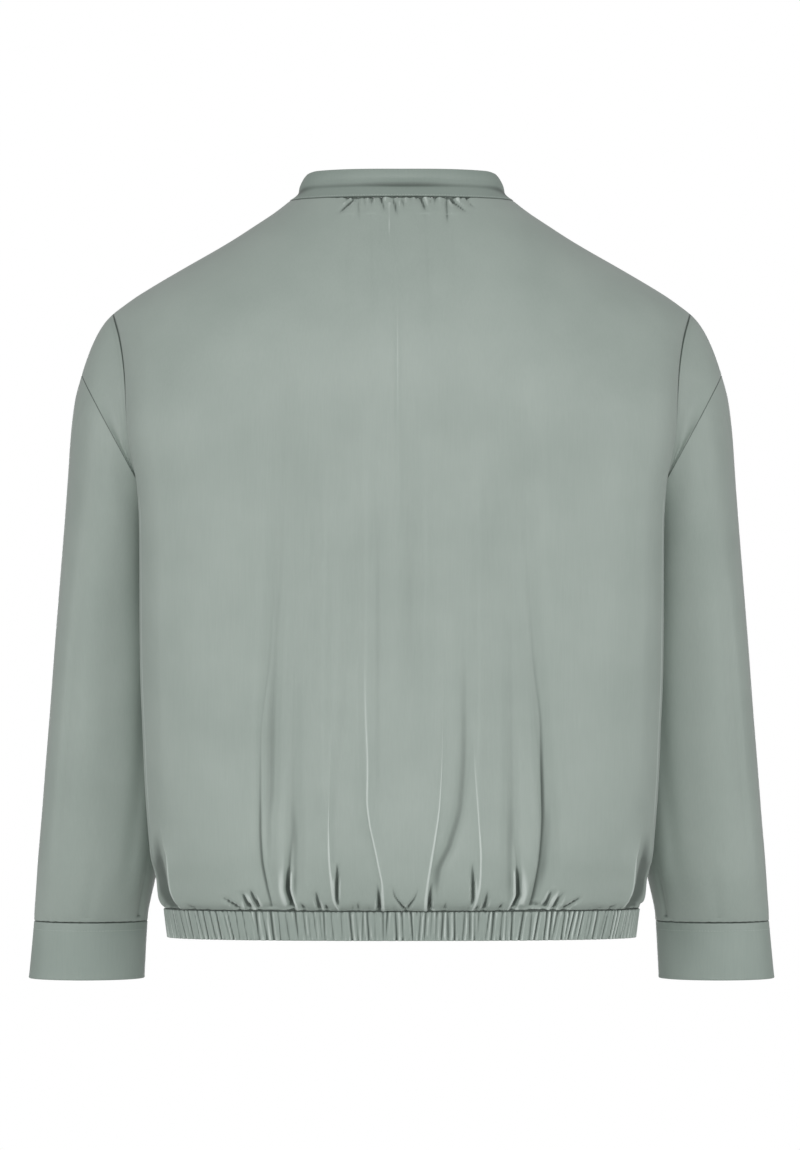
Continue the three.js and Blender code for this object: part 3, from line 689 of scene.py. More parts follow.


# How far the painted shade and the painted highlight go toward their own colours, and the
# relief at which they do.
PAINTED_SHADE, PAINTED_SHADE_FROM, PAINTED_SHADE_TO, PAINTED_SHADE_COLOUR = 0.85, -0.08, -1.0, "454f49"
PAINTED_HIGHLIGHT, PAINTED_HIGHLIGHT_FROM, PAINTED_HIGHLIGHT_TO, PAINTED_HIGHLIGHT_COLOUR = 0.7, 0.26, 0.85, "cdd6d1"


def satin(name, deep, light, roughness, float_bump):
    """Woven polyester satin: smooth floats that run up the panel, and a soft uneven dye."""
    material = bpy.data.materials.new(name)
    tree = cleared(material)
    place = add_node(tree, "ShaderNodeTexCoord").outputs["Object"]

    # The dye drifts a little over some 60 mm, and the face yarns differ by the millimetre.
    drift = noise(tree, place, 16, 3)
    stretched = add_node(tree, "ShaderNodeMapping", {"Vector": place, "Scale": (900, 900, 40)})
    yarns = noise(tree, stretched.outputs["Vector"], 1, 2)
    share = maths(tree, "MULTIPLY_ADD", yarns, 0.35, maths(tree, "MULTIPLY_ADD", drift, 0.8, 0.1))
    colour = mixed(tree, share, linear(deep), linear(light))
    floats = {"Height": yarns, "Strength": float_bump, "Distance": 0.0002}
    bump = add_node(tree, "ShaderNodeBump", floats)

    # Painted shade darkens the colour where the relief lies low, in hollows and gathers,
    # and a painted highlight makes it paler where the relief stands up, on crests.
    stands = add_node(tree, "ShaderNodeAttribute", attribute_name="relief").outputs["Fac"]
    painted_shade_share = remap(tree, stands, PAINTED_SHADE_TO, PAINTED_SHADE_FROM, PAINTED_SHADE, 0)
    painted_highlight_share = remap(tree, stands, PAINTED_HIGHLIGHT_FROM, PAINTED_HIGHLIGHT_TO, 0, PAINTED_HIGHLIGHT)
    colour = mixed(tree, painted_shade_share, colour, linear(PAINTED_SHADE_COLOUR))
    colour = mixed(tree, painted_highlight_share, colour, linear(PAINTED_HIGHLIGHT_COLOUR))
    shader = add_node(tree, "ShaderNodeBsdfPrincipled", {
        "Base Color": colour,
        "Roughness": remap(tree, yarns, 0, 1, roughness - 0.03, roughness + 0.03, "LINEAR"),
        "Normal": bump.outputs["Normal"],
        "Specular IOR Level": 0.42,
        "Sheen Weight": 0.15,
        "Sheen Roughness": 0.45,
        "IOR": 1.5,
    })
    add_node(tree, "ShaderNodeOutputMaterial", {"Surface": shader.outputs["BSDF"]})
    return material


SATIN = satin("woven_satin", "8b9790", "a0aba4", 0.44, 0.22)
FACED_SATIN = satin("interfaced_satin", "828f88", "96a29b", 0.46, 0.18)
# The collar's satin is a darker copy of the interfaced satin: painted shade for its lean.
SHADED_COLLAR_SATIN = satin("collar_satin_painted_shade", "79867f", "8d9992", 0.46, 0.18)
SHIRRED_SATIN = satin("shirred_satin", "838e88", "98a49d", 0.46, 0.18)


def dress(piece, node, material):
    """The finished piece takes its material, rides on the jacket, and stands for its solid."""
    piece.data.materials.append(material)
    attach(piece, "root")
    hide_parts(node)
    total = sum(face.area for face in piece.data.polygons) / 2
    print("%s: %d faces, %.3f square metres" % (piece.name, len(piece.data.polygons), total))


# %% [markdown]
# ## The back
#
# One wide piece from arm to arm. It is gathered into the neck under the collar and into the band at
# the hem. From the hem gathers, long troughs and a few sharp creases rise into the cloth. Two deep
# ones stand on either side of the middle, with thin dark slits between them at the seam. A fine
# crease drops from the neck gathers down the middle. Where the back meets the arm it folds under.

# %% Folds of the back


def raised(side, strength, points, inner, outer, sharp=False, shift=0.0):
    """A fold on one half, 1 left or -1 right. Its widths run inward and outward from the line."""
    points = [(side * (x + shift), z, strength * height) for x, z, height in points]
    left, right = (inner, outer) if side > 0 else (outer, inner)
    return points, left, right, sharp


# The soft hollows of each half: beside the second crease, before the long trough, and along it.
HOLLOWS = [
    [(55, -530, 0), (51.5, -480, -0.8), (48, -430, -1.2), (47, -370, -0.8), (46, -300, 0)],
    [(92, -604, -1.4), (91, -575, -4.8), (90.5, -545, -5), (91, -500, -3), (90, -420, -2),
     (88, -330, -0.9), (87, -200, 0)],
    [(106, -606, -2), (109, -590, -3), (113, -560, -3.8), (113, -530, -4.6), (111, -500, -5),
     (110.5, -458, -4.8), (108, -390, -3), (102, -300, -1.2), (100, -180, 0)],
]
OTHER_HOLLOWS = [
    [(27, -600, -1), (31, -569, -3.2), (41, -544, -3.6), (49.5, -510, -3.2), (52, -460, -2.6),
     (52, -410, -1.6), (51, -340, 0)],
    [(91, -604, -1.4), (91.5, -575, -4), (92, -545, -4.6), (92, -500, -3.4), (91, -420, -2.2),
     (90, -330, -1), (88, -200, 0)],
    [(108, -606, -3.2), (114, -590, -6.4), (121, -560, -7.8), (123, -530, -7.4), (121, -500, -6.4),
     (117, -458, -4.8), (112, -390, -2.8), (106, -300, -1.2), (104, -180, 0)],
]


def hem_folds(side, creases, hollows, strengths):
    """The folds over the hem on one half: five creases, the slits beside them, the soft troughs."""
    middle, second, slit, trough, pocket = creases
    a, b, c, d, e = strengths

    def on(line, *heights):
        """The points of a crease, with heights from (up, height) pairs."""
        height = through(heights)
        return [(x, z, float(height(z))) for x, z in line]

    # Each has its strength, points, inner and outer width, and if need be SHARP and a shift across.
    rows = [
        # The middle crease: a bright pressed edge with a dark slit at its foot.
        (a, on(middle, (-606, 1.6), (-582, 2.4), (-547, 2.2), (-500, 1.3), (-390, 0)), 7, 3, SHARP),
        (a, on(middle, (-606, 0.6), (-560, 0.8), (-500, 0.5), (-390, 0)), 0.8, 0.8, SHARP),
        (a, [(18.4, -607, -5), (18.3, -600, -6), (18.6, -592, -4), (19.4, -584, -1.2), (20.4, -577, 0)],
         1.1, 2, False, middle[0][0] - 15.6),
        # The second crease, with its slit on the inner side.
        (b, on(second, (-606, 0.8), (-590, 2.2), (-565, 3), (-532, 1.8), (-440, 0)), 3, 6, SHARP),
        (b, on(second, (-606, 0.6), (-565, 0.8), (-530, 0.4), (-440, 0)), 0.8, 0.8, SHARP),
        (b, [(53, -598, 0), (54.6, -590, -4), (54.6, -580, -4.6), (54.2, -571, -2.4), (54, -560, 0)],
         1.5, 1.1, False, (second[2][0] - 58.6) * 0.8),
        (1, hollows[0], 5.5, 4.5),
        # The third closes up into a deep dark slit with a thin bright lip.
        (c, on(slit, (-606, -4), (-597, -7), (-583, -7.5), (-572, -4), (-556, -0.6), (-530, 0)),
         1.4, 3.2),
        (c, on(slit, (-606, 1), (-597, 2.2), (-580, 2), (-562, 0), (-480, 0)), 1.2, 1, SHARP, -3),
        # The long trough is wide and soft, with a hard line where its outer side turns under.
        (1, hollows[2], 6.5, 9),
        (d, on(trough, (-606, -1), (-560, -1.6), (-458, -0.8), (-360, 0)), 1.4, 2.2),
        (d, [(104, -560, 0), (103, -450, -3), (102, -330, -3.6), (101, -200, -2.4), (100, -120, 0)],
         14, 15),
        # The soft hollow between the third and the long trough, which runs highest up the back.
        (1, hollows[1], 7, 6),
        (d, [(150, -500, 0), (150, -400, -1.2), (148, -280, 0)], 16, 16),
        # At the side the cloth caves in over the band, behind a curved lip.
        (e, on(pocket, (-606, 0.8), (-594, 2.6), (-578, 3.6), (-559, 2.4), (-530, 0)), 12, 1.8, SHARP),
        (e, on(pocket, (-606, 0.4), (-578, 1), (-559, 0.6), (-530, 0)), 0.9, 0.9, SHARP),
        (e, [(173, -607, -2), (177, -602, -2), (182, -597, 0)], 2.4, 2.4),
        (e, [(160, -607, -1.6), (164, -603, -1.4), (170, -600, 0)], 2.4, 2.4),
        # Short slanting slits, where small gathers run out of the seam.
        (d, [(116, -607, -3), (121, -600, -6), (125, -591, -4), (128, -583, 0)], 1.7, 2.2),
        (d, [(123.5, -607, -3), (128.5, -600, -5.6), (133, -591, -3), (136, -585, 0)], 1.6, 2.2),
        (e, [(132, -607, -2.6), (139, -600, -3.6), (147, -594, -2), (151, -590, 0)], 2, 2.2),
        (b, [(66, -607, -3), (69, -600, -4), (71, -591, -2.4), (72, -583, 0)], 1.6, 1.8),
        (b, [(61, -607, -2), (62.5, -601, -2.4), (64, -595, 0)], 1.2, 1.4),
        (c, [(79, -607, -2.4), (82, -601, -2.6), (85, -595, 0)], 1.6, 1.8),
        (a, [(36, -607, -1.8), (36.5, -600, -1.6), (37, -592, 0)], 1.4, 1.4),
    ]
    return [raised(side, *row) for row in rows]


MIDDLE_PUCKERS = [
    ([(-3, -607, -4), (-3.5, -603, -3.6), (1, -596, -2.2), (6, -588, -1.2), (8, -579, 0)], 1.4, 1.4),
    ([(-3, -606, 0), (-6, -598, -2.2), (-11, -590, -1.2), (-15, -579, 0)], 1.4, 1.4),
]
NECK_GATHERS = [
    ([(54, -14.5, 0), (49, -8, -1.8), (43, -1.5, -2.4), (41, 1.4, -1.6)], 2.4, 1.7),
    ([(50, -4, 0), (46, 1.4, -1.4)], 1.6, 1.6),
    ([(36, -24, 0), (36.5, -10, -1.4), (37, 1.4, -1.8)], 2.6, 2.2),
    ([(31, -13, 0), (31.4, -4, -1), (32, 1.4, -1.4)], 1.6, 2),
    ([(26, -12, 0), (26, -3, -1.1), (26, 1.4, -1.6)], 2, 1.7),
    ([(20.5, -7, 0), (21.6, 1.4, -1.4)], 1.4, 1.6),
    ([(14, -14, 0), (16, -5, -1.6), (18, 1.4, -1.9)], 2, 1.8),
    ([(3.5, -18, 0), (5.5, -7, -1.7), (8, 1.4, -1.9)], 2.2, 1.8),
    ([(-3, -12, 0), (-1, -4, -1.3), (1, 1.4, -1.6)], 1.6, 2),
    ([(-9, -8, 0), (-8, 1.4, -1.4)], 1.6, 1.6),
    ([(-14, -6, 0), (-12.6, 1.4, -1.1)], 1.4, 1.4),
    ([(-20.5, -13, 0), (-18.5, -5, -2.2), (-16, 1.4, -2.4)], 1.8, 2.2),
    ([(-29, -11, 0), (-28, 1.4, -1.5)], 2, 1.6),
    ([(-39, -25, 0), (-38.6, -12, -1.6), (-38, 1.4, -1.9)], 1.8, 2.4),
    ([(-56, -13.5, 0), (-51, -8, -1.8), (-45, -1.5, -2.5), (-43, 1.4, -1.6)], 1.6, 2.2),
    ([(-50, -12, 0), (-46, -6, -1.3), (-41, 1.4, -1.6)], 1.4, 1.6),
    ([(-63, -9, 0), (-59, -5, -1.1), (-56, 1.4, -1.1)], 1.8, 1.8),
    ([(48, -90, 0), (46, -50, -1), (44, -14, -0.6)], 5, 5),
    ([(24, -110, 0), (25, -60, -0.9), (26, -14, -0.7)], 4, 4),
    ([(-24, -120, 0), (-22, -60, -1.1), (-20, -14, -0.8)], 4.5, 4.5),
    ([(-46, -90, 0), (-44, -50, -1), (-42, -14, -0.6)], 5, 5),
]
LONG_LINES = [
    # The fine crease down the middle of the back, which starts in the gathers at the neck.
    ([(2.4, -330, 0), (2.6, -250, 0.6), (3.2, -150, 1), (3.9, -100, 1), (5, -64, 0.8), (7, -40, 0)],
     1.6, 1.4, SHARP),
    ([(7.6, -66, 0), (9.6, -40, 0.9), (10.6, -22, 1.2), (11.2, -4, 0.7)], 1.6, 1.6, SHARP),
    # Soft waves in the middle of the back, which the light turns into pale and dark bands.
    ([(29, -540, 0), (29.6, -480, 2.6), (30, -400, 2.8), (30, -320, 1.6), (31, -180, 0)], 7, 6),
    ([(19.5, -520, 0), (19.5, -330, -1.1), (19, -170, 0)], 5, 5),
    ([(-6, -500, 0), (-7, -330, -1.7), (-6, -150, 0)], 6, 6),
    ([(-21, -470, 0), (-20, -330, 1.1), (-20, -200, 0)], 5, 5),
    ([(-64, -560, 0), (-65, -460, 2.4), (-66, -380, 2), (-64, -200, 0)], 6, 6),
    ([(66, -580, 0), (67, -480, 2), (66, -380, 2), (64, -200, 0)], 6, 8),
    ([(76, -470, 0), (76, -330, -1.1), (75, -210, 0)], 5, 5),
]
BACK_FOLDS = hem_folds(1, CREASES, HOLLOWS, (1, 1, 1, 1, 1))
BACK_FOLDS += hem_folds(-1, OTHER_CREASES, OTHER_HOLLOWS, (1.1, 0.9, 0.95, 0.9, 1.05))
BACK_FOLDS += MIDDLE_PUCKERS + NECK_GATHERS + LONG_LINES
print("back: %d folds" % len(BACK_FOLDS))


def tilted(points):
    """The hem hangs a little higher at the back than at the front."""
    share = smoothstep(-points[..., 2], -TILT_FROM, -HEM)
    return points + vec(0, 0, HEM_TILT * points[..., 1] * share)


# %% Build the back
# Puckers are strewn along a seam this far to both sides of its middle.
SEAM_END = 300
random = np.random.default_rng(11)


def seam_puckers(across, above, reach, depth, pitch):
    """Small uneven puckers along a gathered seam, at a height above it."""
    places = np.cumsum(random.uniform(0.6, 1.5, int(2 * SEAM_END / pitch)) * pitch) - SEAM_END
    total = np.zeros(across.shape)
    for place in places:
        deep = depth * random.uniform(0.35, 1)
        high = reach * random.uniform(0.4, 1.1)
        lean = random.uniform(-0.35, 0.35)
        off = (across - place - lean * above) / (pitch * 0.28)
        total -= deep * bell(off) * smoothstep(high - above, 0, high)
    return total


def tucks(form):
    """The foot of the tuck before each arm: the distance outward from it, and its height there."""
    column = len(ARM_COLUMNS) + len(EDGE_LINES)
    along = lengths(form)
    for foot, outward in ((column, -1), (form.shape[1] - 1 - column, 1)):
        yield (along - along[:, foot : foot + 1]) * outward, form[:, foot, 2][:, None]


def on_tuck(z, fade):
    """1 along the tuck, fading out at its low and its high end."""
    high = 1 - smoothstep(z, TUCK_HIGH - 4, TUCK_HIGH + 2)
    return smoothstep(z, TUCK_LOW - 8, TUCK_LOW + fade) * high


def hem_fade(form, heights):
    """Heights that shrink to a third right at the hem, where the cloth is sewn to its band."""
    return heights * lerp(0.3, 1, smoothstep(form[..., 2] - form[0, :, 2], 0, 3))


# Painted shade at each seam, the roll of the body's edges, and the reach, depth and pitch of its
# puckers.
SHADED_SEAMS, BODY_ROLL = {"low": 0.9, "high": 0.9, "first": 0.9, "last": 0.9}, 0.9
HEM_PUCKERS, NECK_PUCKERS, LONG_NECK_PUCKERS = (12, 2.4, 6), (13, 1.3, 4.6), (30, 0.5, 11)
TUCK_HIGH, TUCK_LOW = -93, -244
# By height: how far across the cloth sinks in over the band, how deep it lies, and its painted shade.
CAVE_TOP = -532
cave = curves("across depth dark", [
    (-607, 190, -1.6, -0.7), (-598, 197, -3.2, -1.3), (-584, 203, -4, -1.5), (-571, 205, -3, -1.3),
    (-556, 207, -0.8, -0.7), (CAVE_TOP, 210, 0, 0)
])


def caves(form, key, inner, outer):
    """The depth, or the painted shade, at each point where the cloth sinks in behind the lip at each
    side.
    """
    across, z = np.abs(form[..., 0]), form[..., 2]
    off = across - cave["across"](z)
    value = cave[key](z) * (z < CAVE_TOP) * smoothstep(form[..., 1], 14, 34)
    return value * bell(off / np.where(off > 0, outer, inner))


def back_shade(form, normals):
    """Painted shade and highlight beyond the back's relief: painted shade in the caves over the band
    and along each arm's tuck, and a painted highlight on the pressed edge its sides turn round."""
    z = form[..., 2]
    # Painted shade in the caves over the band.
    total = caves(form, "dark", 4.5, 8)
    # A painted highlight along the sides where they turn round, low on the back.
    low = (1 - smoothstep(z, TUCK_LOW - 22, TUCK_LOW + 12)) * smoothstep(z, -585, -500)
    total += 0.75 * low * bell((normals[..., 1] - 0.25) / 0.05)
    # Painted shade along the tuck before each arm.
    for off, _ in tucks(form):
        groove, hollow = bell((off - 0.9) / 0.65), bell((off - 4) / 3)
        total -= on_tuck(z, 6) * (1.4 * groove + 0.16 * hollow)
    return total


def back_lift(form, normals):
    x, z = form[..., 0], form[..., 2]
    heights = fold_heights(x, z, BACK_FOLDS) + seam_puckers(x, z - HEM, *HEM_PUCKERS)
    at_neck = 1 - smoothstep(np.abs(x), 50, 66)
    heights += at_neck * seam_puckers(x, NECK_RISE - z, *NECK_PUCKERS)
    heights += at_neck * seam_puckers(x, NECK_RISE - z, *LONG_NECK_PUCKERS)
    heights = hem_fade(form, heights + caves(form, "depth", 3.4, 6))
    for off, z in tucks(form):
        # A narrow groove, with a soft hollow outside it.
        groove, hollow = np.exp(-np.abs(off - 0.9) / 0.7), bell((off - 3.4) / 3)
        heights -= on_tuck(z, 8) * (1.8 * groove + 0.7 * hollow)
    return heights


form = tilted(back_form)
back, _ = shell("back_cloth", form, back_lift, THIN, SHADED_SEAMS, BODY_ROLL, shade=back_shade)
dress(back, "back", SATIN)

# %% [markdown]
# ## The fronts
#
# Two pieces, cut like the back but lower at the neck. They meet edge to edge down the middle. They
# are gathered into the same band, so they get the same kinds of fold, in places of their own.

# %% Fronts
FRONT_FOLDS = [
    ([(112, -607, -2.5), (116, -570, -4.5), (118, -520, -4.5), (114, -430, -2), (108, -330, 0)], 7, 9),
    ([(80, -600, 0), (76, -550, -3), (74, -490, -2.4), (72, -410, 0)], 8, 7),
    ([(42, -606, 1.4), (43, -580, 2.4), (48, -545, 2.4), (53, -500, 1.2), (55, -430, 0)], 4, 7, SHARP),
    ([(45, -607, -4.5), (46, -594, -5), (47, -578, -2.2), (48, -568, 0)], 1.6, 2.2),
    ([(64, -607, -4), (66, -596, -5), (66, -580, -3), (65, -562, 0)], 1.8, 2.4),
    ([(92, -607, -4), (95, -598, -6), (97, -580, -4.5), (97, -555, 0)], 2.2, 3),
    ([(24, -607, -2.5), (24, -596, -3), (26, -580, -1.4), (28, -560, 0)], 2, 2.6),
    ([(128, -607, -2.5), (133, -598, -3), (138, -588, 0)], 2.6, 2.6),
    ([(150, -607, -3), (152, -590, -4.5), (152, -565, 0)], 4, 5),
    ([(34, -520, 0), (36, -440, -1), (37, -330, 0)], 5, 5),
    ([(150, -480, 0), (152, -380, -1.6), (150, -270, 0)], 14, 12),
]


def front_lift(form, normals):
    """The folds of the fronts: the right one has them 3 mm nearer the middle."""
    x, z = form[..., 0], form[..., 2]
    heights = fold_heights(np.abs(x) + np.where(x < 0, 3, 0), z, FRONT_FOLDS)
    heights = hem_fade(form, heights + seam_puckers(x, z - HEM, *HEM_PUCKERS))
    return heights * smoothstep(np.abs(x), 0, 12)


for side, name in SIDES:
    form = tilted(front_sheet(side))
    front, _ = shell("front_%s_cloth" % name, form, front_lift, THIN, SHADED_SEAMS, BODY_ROLL)
    dress(front, "front_" + name, SATIN)

# %% [markdown]
# ## The sleeves
#
# Each sleeve is a wide tube, set into the dropped armhole, that hangs a little forward and narrows
# only just over the cuff. Its form is a row of rings: each has an outer and an inner point and a
# depth from front to back. The cloth hangs nearly smooth, with a few long soft folds.

# %% Sleeves
# Rings from the upper end: outer x and z, inner x and z, y, depth, and squareness at the back.
RING = "outer_x outer_z inner_x inner_z y depth square"
SLEEVE = [
    (HEAD[0], HEAD[2], armpit[0], armpit[2], -25, 62, 2),
    (282.5, -168, 206.5, -290, -27.5, 62.5, 2),
    (286.5, -200, 210, -303, -31, 63, 2.1),
    (289.2, -238, 211.5, -320, -36, 63, 2.3),
    (293, -284, 211, -342, -43, 63, 2.5),
    (297.3, -334, 209, -369, -49, 62.5, 2.7),
    (301.5, -384, 207, -402, -53, 61.5, 2.8),
    (305.6, -436, 206, -444, -56, 59.5, 2.8),
    (309.8, -486, 206.5, -488, -58, 56.5, 2.8),
    (313.6, -532, 208, -532, -60, 53, 2.7),
    (317, -570, 211.5, -570, -61, 49, 2.6),
    (319, -598, 217.5, -598, -62, 44, 2.3),
    (320.2, -612, 220.5, -612, -62.5, 40, 2.1),
    (320.6, -621, 221.3, -621, -63, 36, 2),
]
CUFF = [
    (320.6, -621.3, 221.3, -621.3, -63, 36, 2),
    (322.8, -645, 222.6, -645, -63.5, 36.5, 2),
    (325.3, -671, 224, -671, -64, 36, 2),
]
SLEEVE_ROWS = spaced((0, 12, 1.5), (12, 400, 3.1), (400, 417, 1.6)) / 417
CUFF_ROWS = spaced((0, 50, 1.7)) / 50
SLEEVE_COLUMNS, CUFF_COLUMNS = 150, 120
SLEEVE_END, CUFF_TOP = SLEEVE[-1][1], CUFF[0][1]


def tube_sheet(rings, places, columns, side):
    """Rings from the tube's low end up, at shares (0 to 1) of the way along it. They start at its
    outer side and run round by the back."""
    ring = np.array(rings)
    along = lengths((ring[:, :2] + ring[:, 2:4]) / 2)
    rows = [(1 - at / along[-1], *values) for at, values in zip(along, rings)]
    at = {key: one(places)[:, None] for key, one in curves(RING, rows).items()}
    turn = np.linspace(0, 2 * math.pi, columns, endpoint=False)[None, :]
    power = 2 / np.where(np.sin(turn) > 0, at["square"], 2)
    across, deep = (np.sign(wave) * np.abs(wave) ** power for wave in (np.cos(turn), np.sin(turn)))
    x, z = (lerp(at["inner_" + key], at["outer_" + key], (1 + across) / 2) for key in "xz")
    sheet = relaxed(vec(x, at["y"] + at["depth"] * deep, z), times=8, closed=True)
    return sheet if side > 0 else sheet[:, ::-1] * (-1, 1, 1)


# Across is the turn round the sleeve in degrees: 0 outer, 90 back, 180 inner, 270 front.
SLEEVE_FOLDS = [
    ([(52, -600, 0), (58, -520, -1.3), (62, -420, -1.2), (66, -300, 0)], 7, 9),
    ([(118, -610, 0), (120, -540, -1.5), (126, -450, -1.4), (130, -370, 0)], 9, 8),
    ([(88, -618, -0.8), (90, -590, -0.8), (92, -560, 0)], 4, 5),
    ([(150, -618, -1.6), (146, -590, -1.4), (143, -560, 0)], 5, 5),
    ([(20, -215, 0), (24, -190, 0.5), (30, -168, 0.3)], 4, 4, SHARP),
    ([(24, -210, 0), (29, -186, -0.8), (36, -170, -0.5)], 5, 4),
    ([(240, -600, 0), (236, -500, -2.2), (232, -380, 0)], 9, 9),
    ([(285, -615, -1), (290, -560, -2.4), (292, -470, 0)], 8, 7),
    ([(320, -560, 0), (322, -450, -1.6), (325, -330, 0)], 9, 9),
    ([(258, -420, 0), (250, -380, -2), (238, -350, 0)], 12, 12),
]


def around(form):
    """The turn round a closed tube, in degrees, at each of its points."""
    return np.broadcast_to(np.arange(form.shape[1]) * 360 / form.shape[1], form.shape[:2])


def sleeve_lift(form, normals):
    turn = around(form)
    if form[0, 0, 0] < 0:
        turn = (360 - turn) % 360
    puckers = seam_puckers(turn - 180, form[..., 2] - SLEEVE_END, 9, 0.7, 9)
    return fold_heights(turn, form[..., 2], SLEEVE_FOLDS) + puckers


def cuff_lift(form, normals):
    return seam_puckers(around(form) - 180, CUFF_TOP - form[..., 2], 6, 0.5, 9)


for side, name in SIDES:
    form = tube_sheet(SLEEVE, SLEEVE_ROWS, SLEEVE_COLUMNS, side)
    seams = {"low": 0.3, "high": 0.9}
    sleeve, _ = shell("sleeve_%s_cloth" % name, form, sleeve_lift, THIN, seams, 1.1, closed=True)
    dress(sleeve, "sleeve_" + name, SATIN)

# %% [markdown]
# ## The cuffs
#
# A cuff is one strip of satin folded over interfacing, so it is stiffer and thicker than the sleeve
# and its lower edge is a round fold. One row of stitches holds its upper edge.

# %% Cuffs
# The stitches follow the eighth row of points from the cuff's upper edge.
STITCH_ROW, cuff_rows = -8, {}
for side, name in SIDES:
    form = tube_sheet(CUFF, CUFF_ROWS, CUFF_COLUMNS, side)
    cuff, outer = shell("cuff_%s_cloth" % name, form, cuff_lift, FACED, {"high": 0.3}, 0.9, closed=True)
    cuff_rows[name] = outer[STITCH_ROW]
    dress(cuff, "cuff_" + name, FACED_SATIN)

# %% [markdown]
# ## The collar
#
# A stand collar is a strip that follows the neck seam. Its upper half leans in a little and a soft
# crease runs along it, where the interfacing gives. It falls to lower points in front.

# %% Collar
# The top edge's height by the turn from the centre back, and the lean at a share of the height.
collar_top = through([
    (0, 25.5), (30, 25.8), (54, 25.6), (66, 24), (75, 20.5), (90, 14.5), (120, 6), (150, -11), (180, -22)
])
collar_lean = through([(0, 0), (0.12, 2.2), (0.3, 4.6), (0.48, 5.8), (0.62, 6), (0.82, 6.6), (1, 8)])
COLLAR_CREASE, COLLAR_LENGTH, COLLAR_ROWS = 0.43, 490, 22


def open_in_front(row):
    """The row's two ends stand a seam's gap apart."""
    row[0, 0], row[-1, 0] = SEAM_GAP / 2, -SEAM_GAP / 2
    return row


def share_up(form):
    """How far up its strip each point lies, and the strip's height there."""
    height = form[-1, :, 2] - form[0, :, 2]
    return (form[..., 2] - form[0, :, 2]) / height, height


def collar_sheet():
    """The collar from centre front round by the left side: rows from the neck seam up."""
    degrees = np.linspace(180, -180, 241)
    turn = np.radians(degrees)
    at_back = np.cos(turn) >= 0
    x = NECK_X * np.sin(turn)
    y, z = np.where(at_back, neck_seam(np.abs(x), 1), neck_seam(np.abs(x), -1))
    depth = np.where(at_back, NECK_BACK, -NECK_FRONT)
    outward = unit(vec(np.sin(turn) / NECK_X, np.cos(turn) / depth, 0))
    seam = vec(x, y, z + SEAM_GAP)
    rows = []
    for share in np.linspace(0, 1, COLLAR_ROWS):
        row = seam - outward * (collar_lean(share) * (1 + 0.32 * np.sin(turn) ** 2))[:, None]
        row[:, 2] = lerp(seam[:, 2], collar_top(np.abs(degrees)), share)
        rows.append(open_in_front(row))
    return relaxed(np.array(rows), times=4)


def collar_lift(form, normals):
    share, full = share_up(form)
    along = np.linspace(-1, 1, form.shape[1])[None, :]
    height = share * full
    off = height - COLLAR_CREASE * full * (1 - 0.25 * along**2)
    deep = 1.1 + 0.7 * bell(along / 0.2) + 0.2 * np.sin(along * 23 + 1)
    deep = deep * (1 - 0.8 * bell((np.abs(along) - 0.5) / 0.14))
    trough = -deep * bell(off / np.where(off > 0, 4, 3)) * smoothstep(1 - np.abs(along), 0, 0.2)
    return trough + seam_puckers(COLLAR_LENGTH / 2 * along + 0 * share, height, 5, 0.5, 6)


def collar_shade(form, normals):
    """Painted shade along the soft crease, darkest at the back, and in the hollow where the collar
    meets the shoulders."""
    share, _ = share_up(form)
    along = np.abs(np.linspace(-1, 1, form.shape[1]))[None, :]
    crease = bell((share - COLLAR_CREASE) / 0.1) * lerp(0.1, 0.42, bell(along / 0.2))
    return -crease - 0.75 * bell((along - 0.41) / 0.09) * bell((share - 0.3) / 0.2)


collar, collar_outer = shell("collar_cloth", collar_sheet(), collar_lift, FACED, {"low": 0.7}, 0.9,
                             shade=collar_shade)
dress(collar, "collar", SHADED_COLLAR_SATIN)

# %% [markdown]
# ## The hem band
#
# The band is a strip of satin shirred over wide elastic. The elastic is shorter than the strip, so
# the satin stands up in small uneven ribs between narrow valleys. No two valleys are as deep or
# as far apart, and short puckers start from both edges between them.

# %% Hem band
BAND_ROWS, BAND_STEP = 18, 0.95


def hem_outline(step):
    """The band's seam from centre front round by the left side, at even steps of length."""
    turn = math.pi * (1 - 2 * np.linspace(0, 1, 1441))
    cos, sin = np.cos(turn), np.sin(turn)
    edge_y, edge, back, front = (torso[key](HEM) for key in ("edge_y", "edge", "back", "front"))
    power = 2 / BACK_SQUARENESS
    bow = np.clip(cos, 0, 1) ** power
    y = np.where(cos >= 0, edge_y + (back - edge_y) * bow, edge_y + (edge_y - front) * cos)
    x = np.where(cos >= 0, np.sign(sin) * np.abs(sin) ** power, sin) * edge
    length = lengths(np.stack([x, y], axis=-1))
    even = np.linspace(0, length[-1], round(length[-1] / step) + 1)
    return np.interp(even, length, x), np.interp(even, length, y)


def band_sheet():
    """The band's rows from its lower edge up to the hem seam."""
    x, y = hem_outline(BAND_STEP)
    rows = []
    for share in np.linspace(0, 1, BAND_ROWS):
        taper = lerp(BAND_TAPER, 1, share)
        rows.append(open_in_front(vec(x * taper, y * taper, lerp(BAND_BOTTOM, HEM - SEAM_GAP, share))))
    return tilted(np.array(rows))


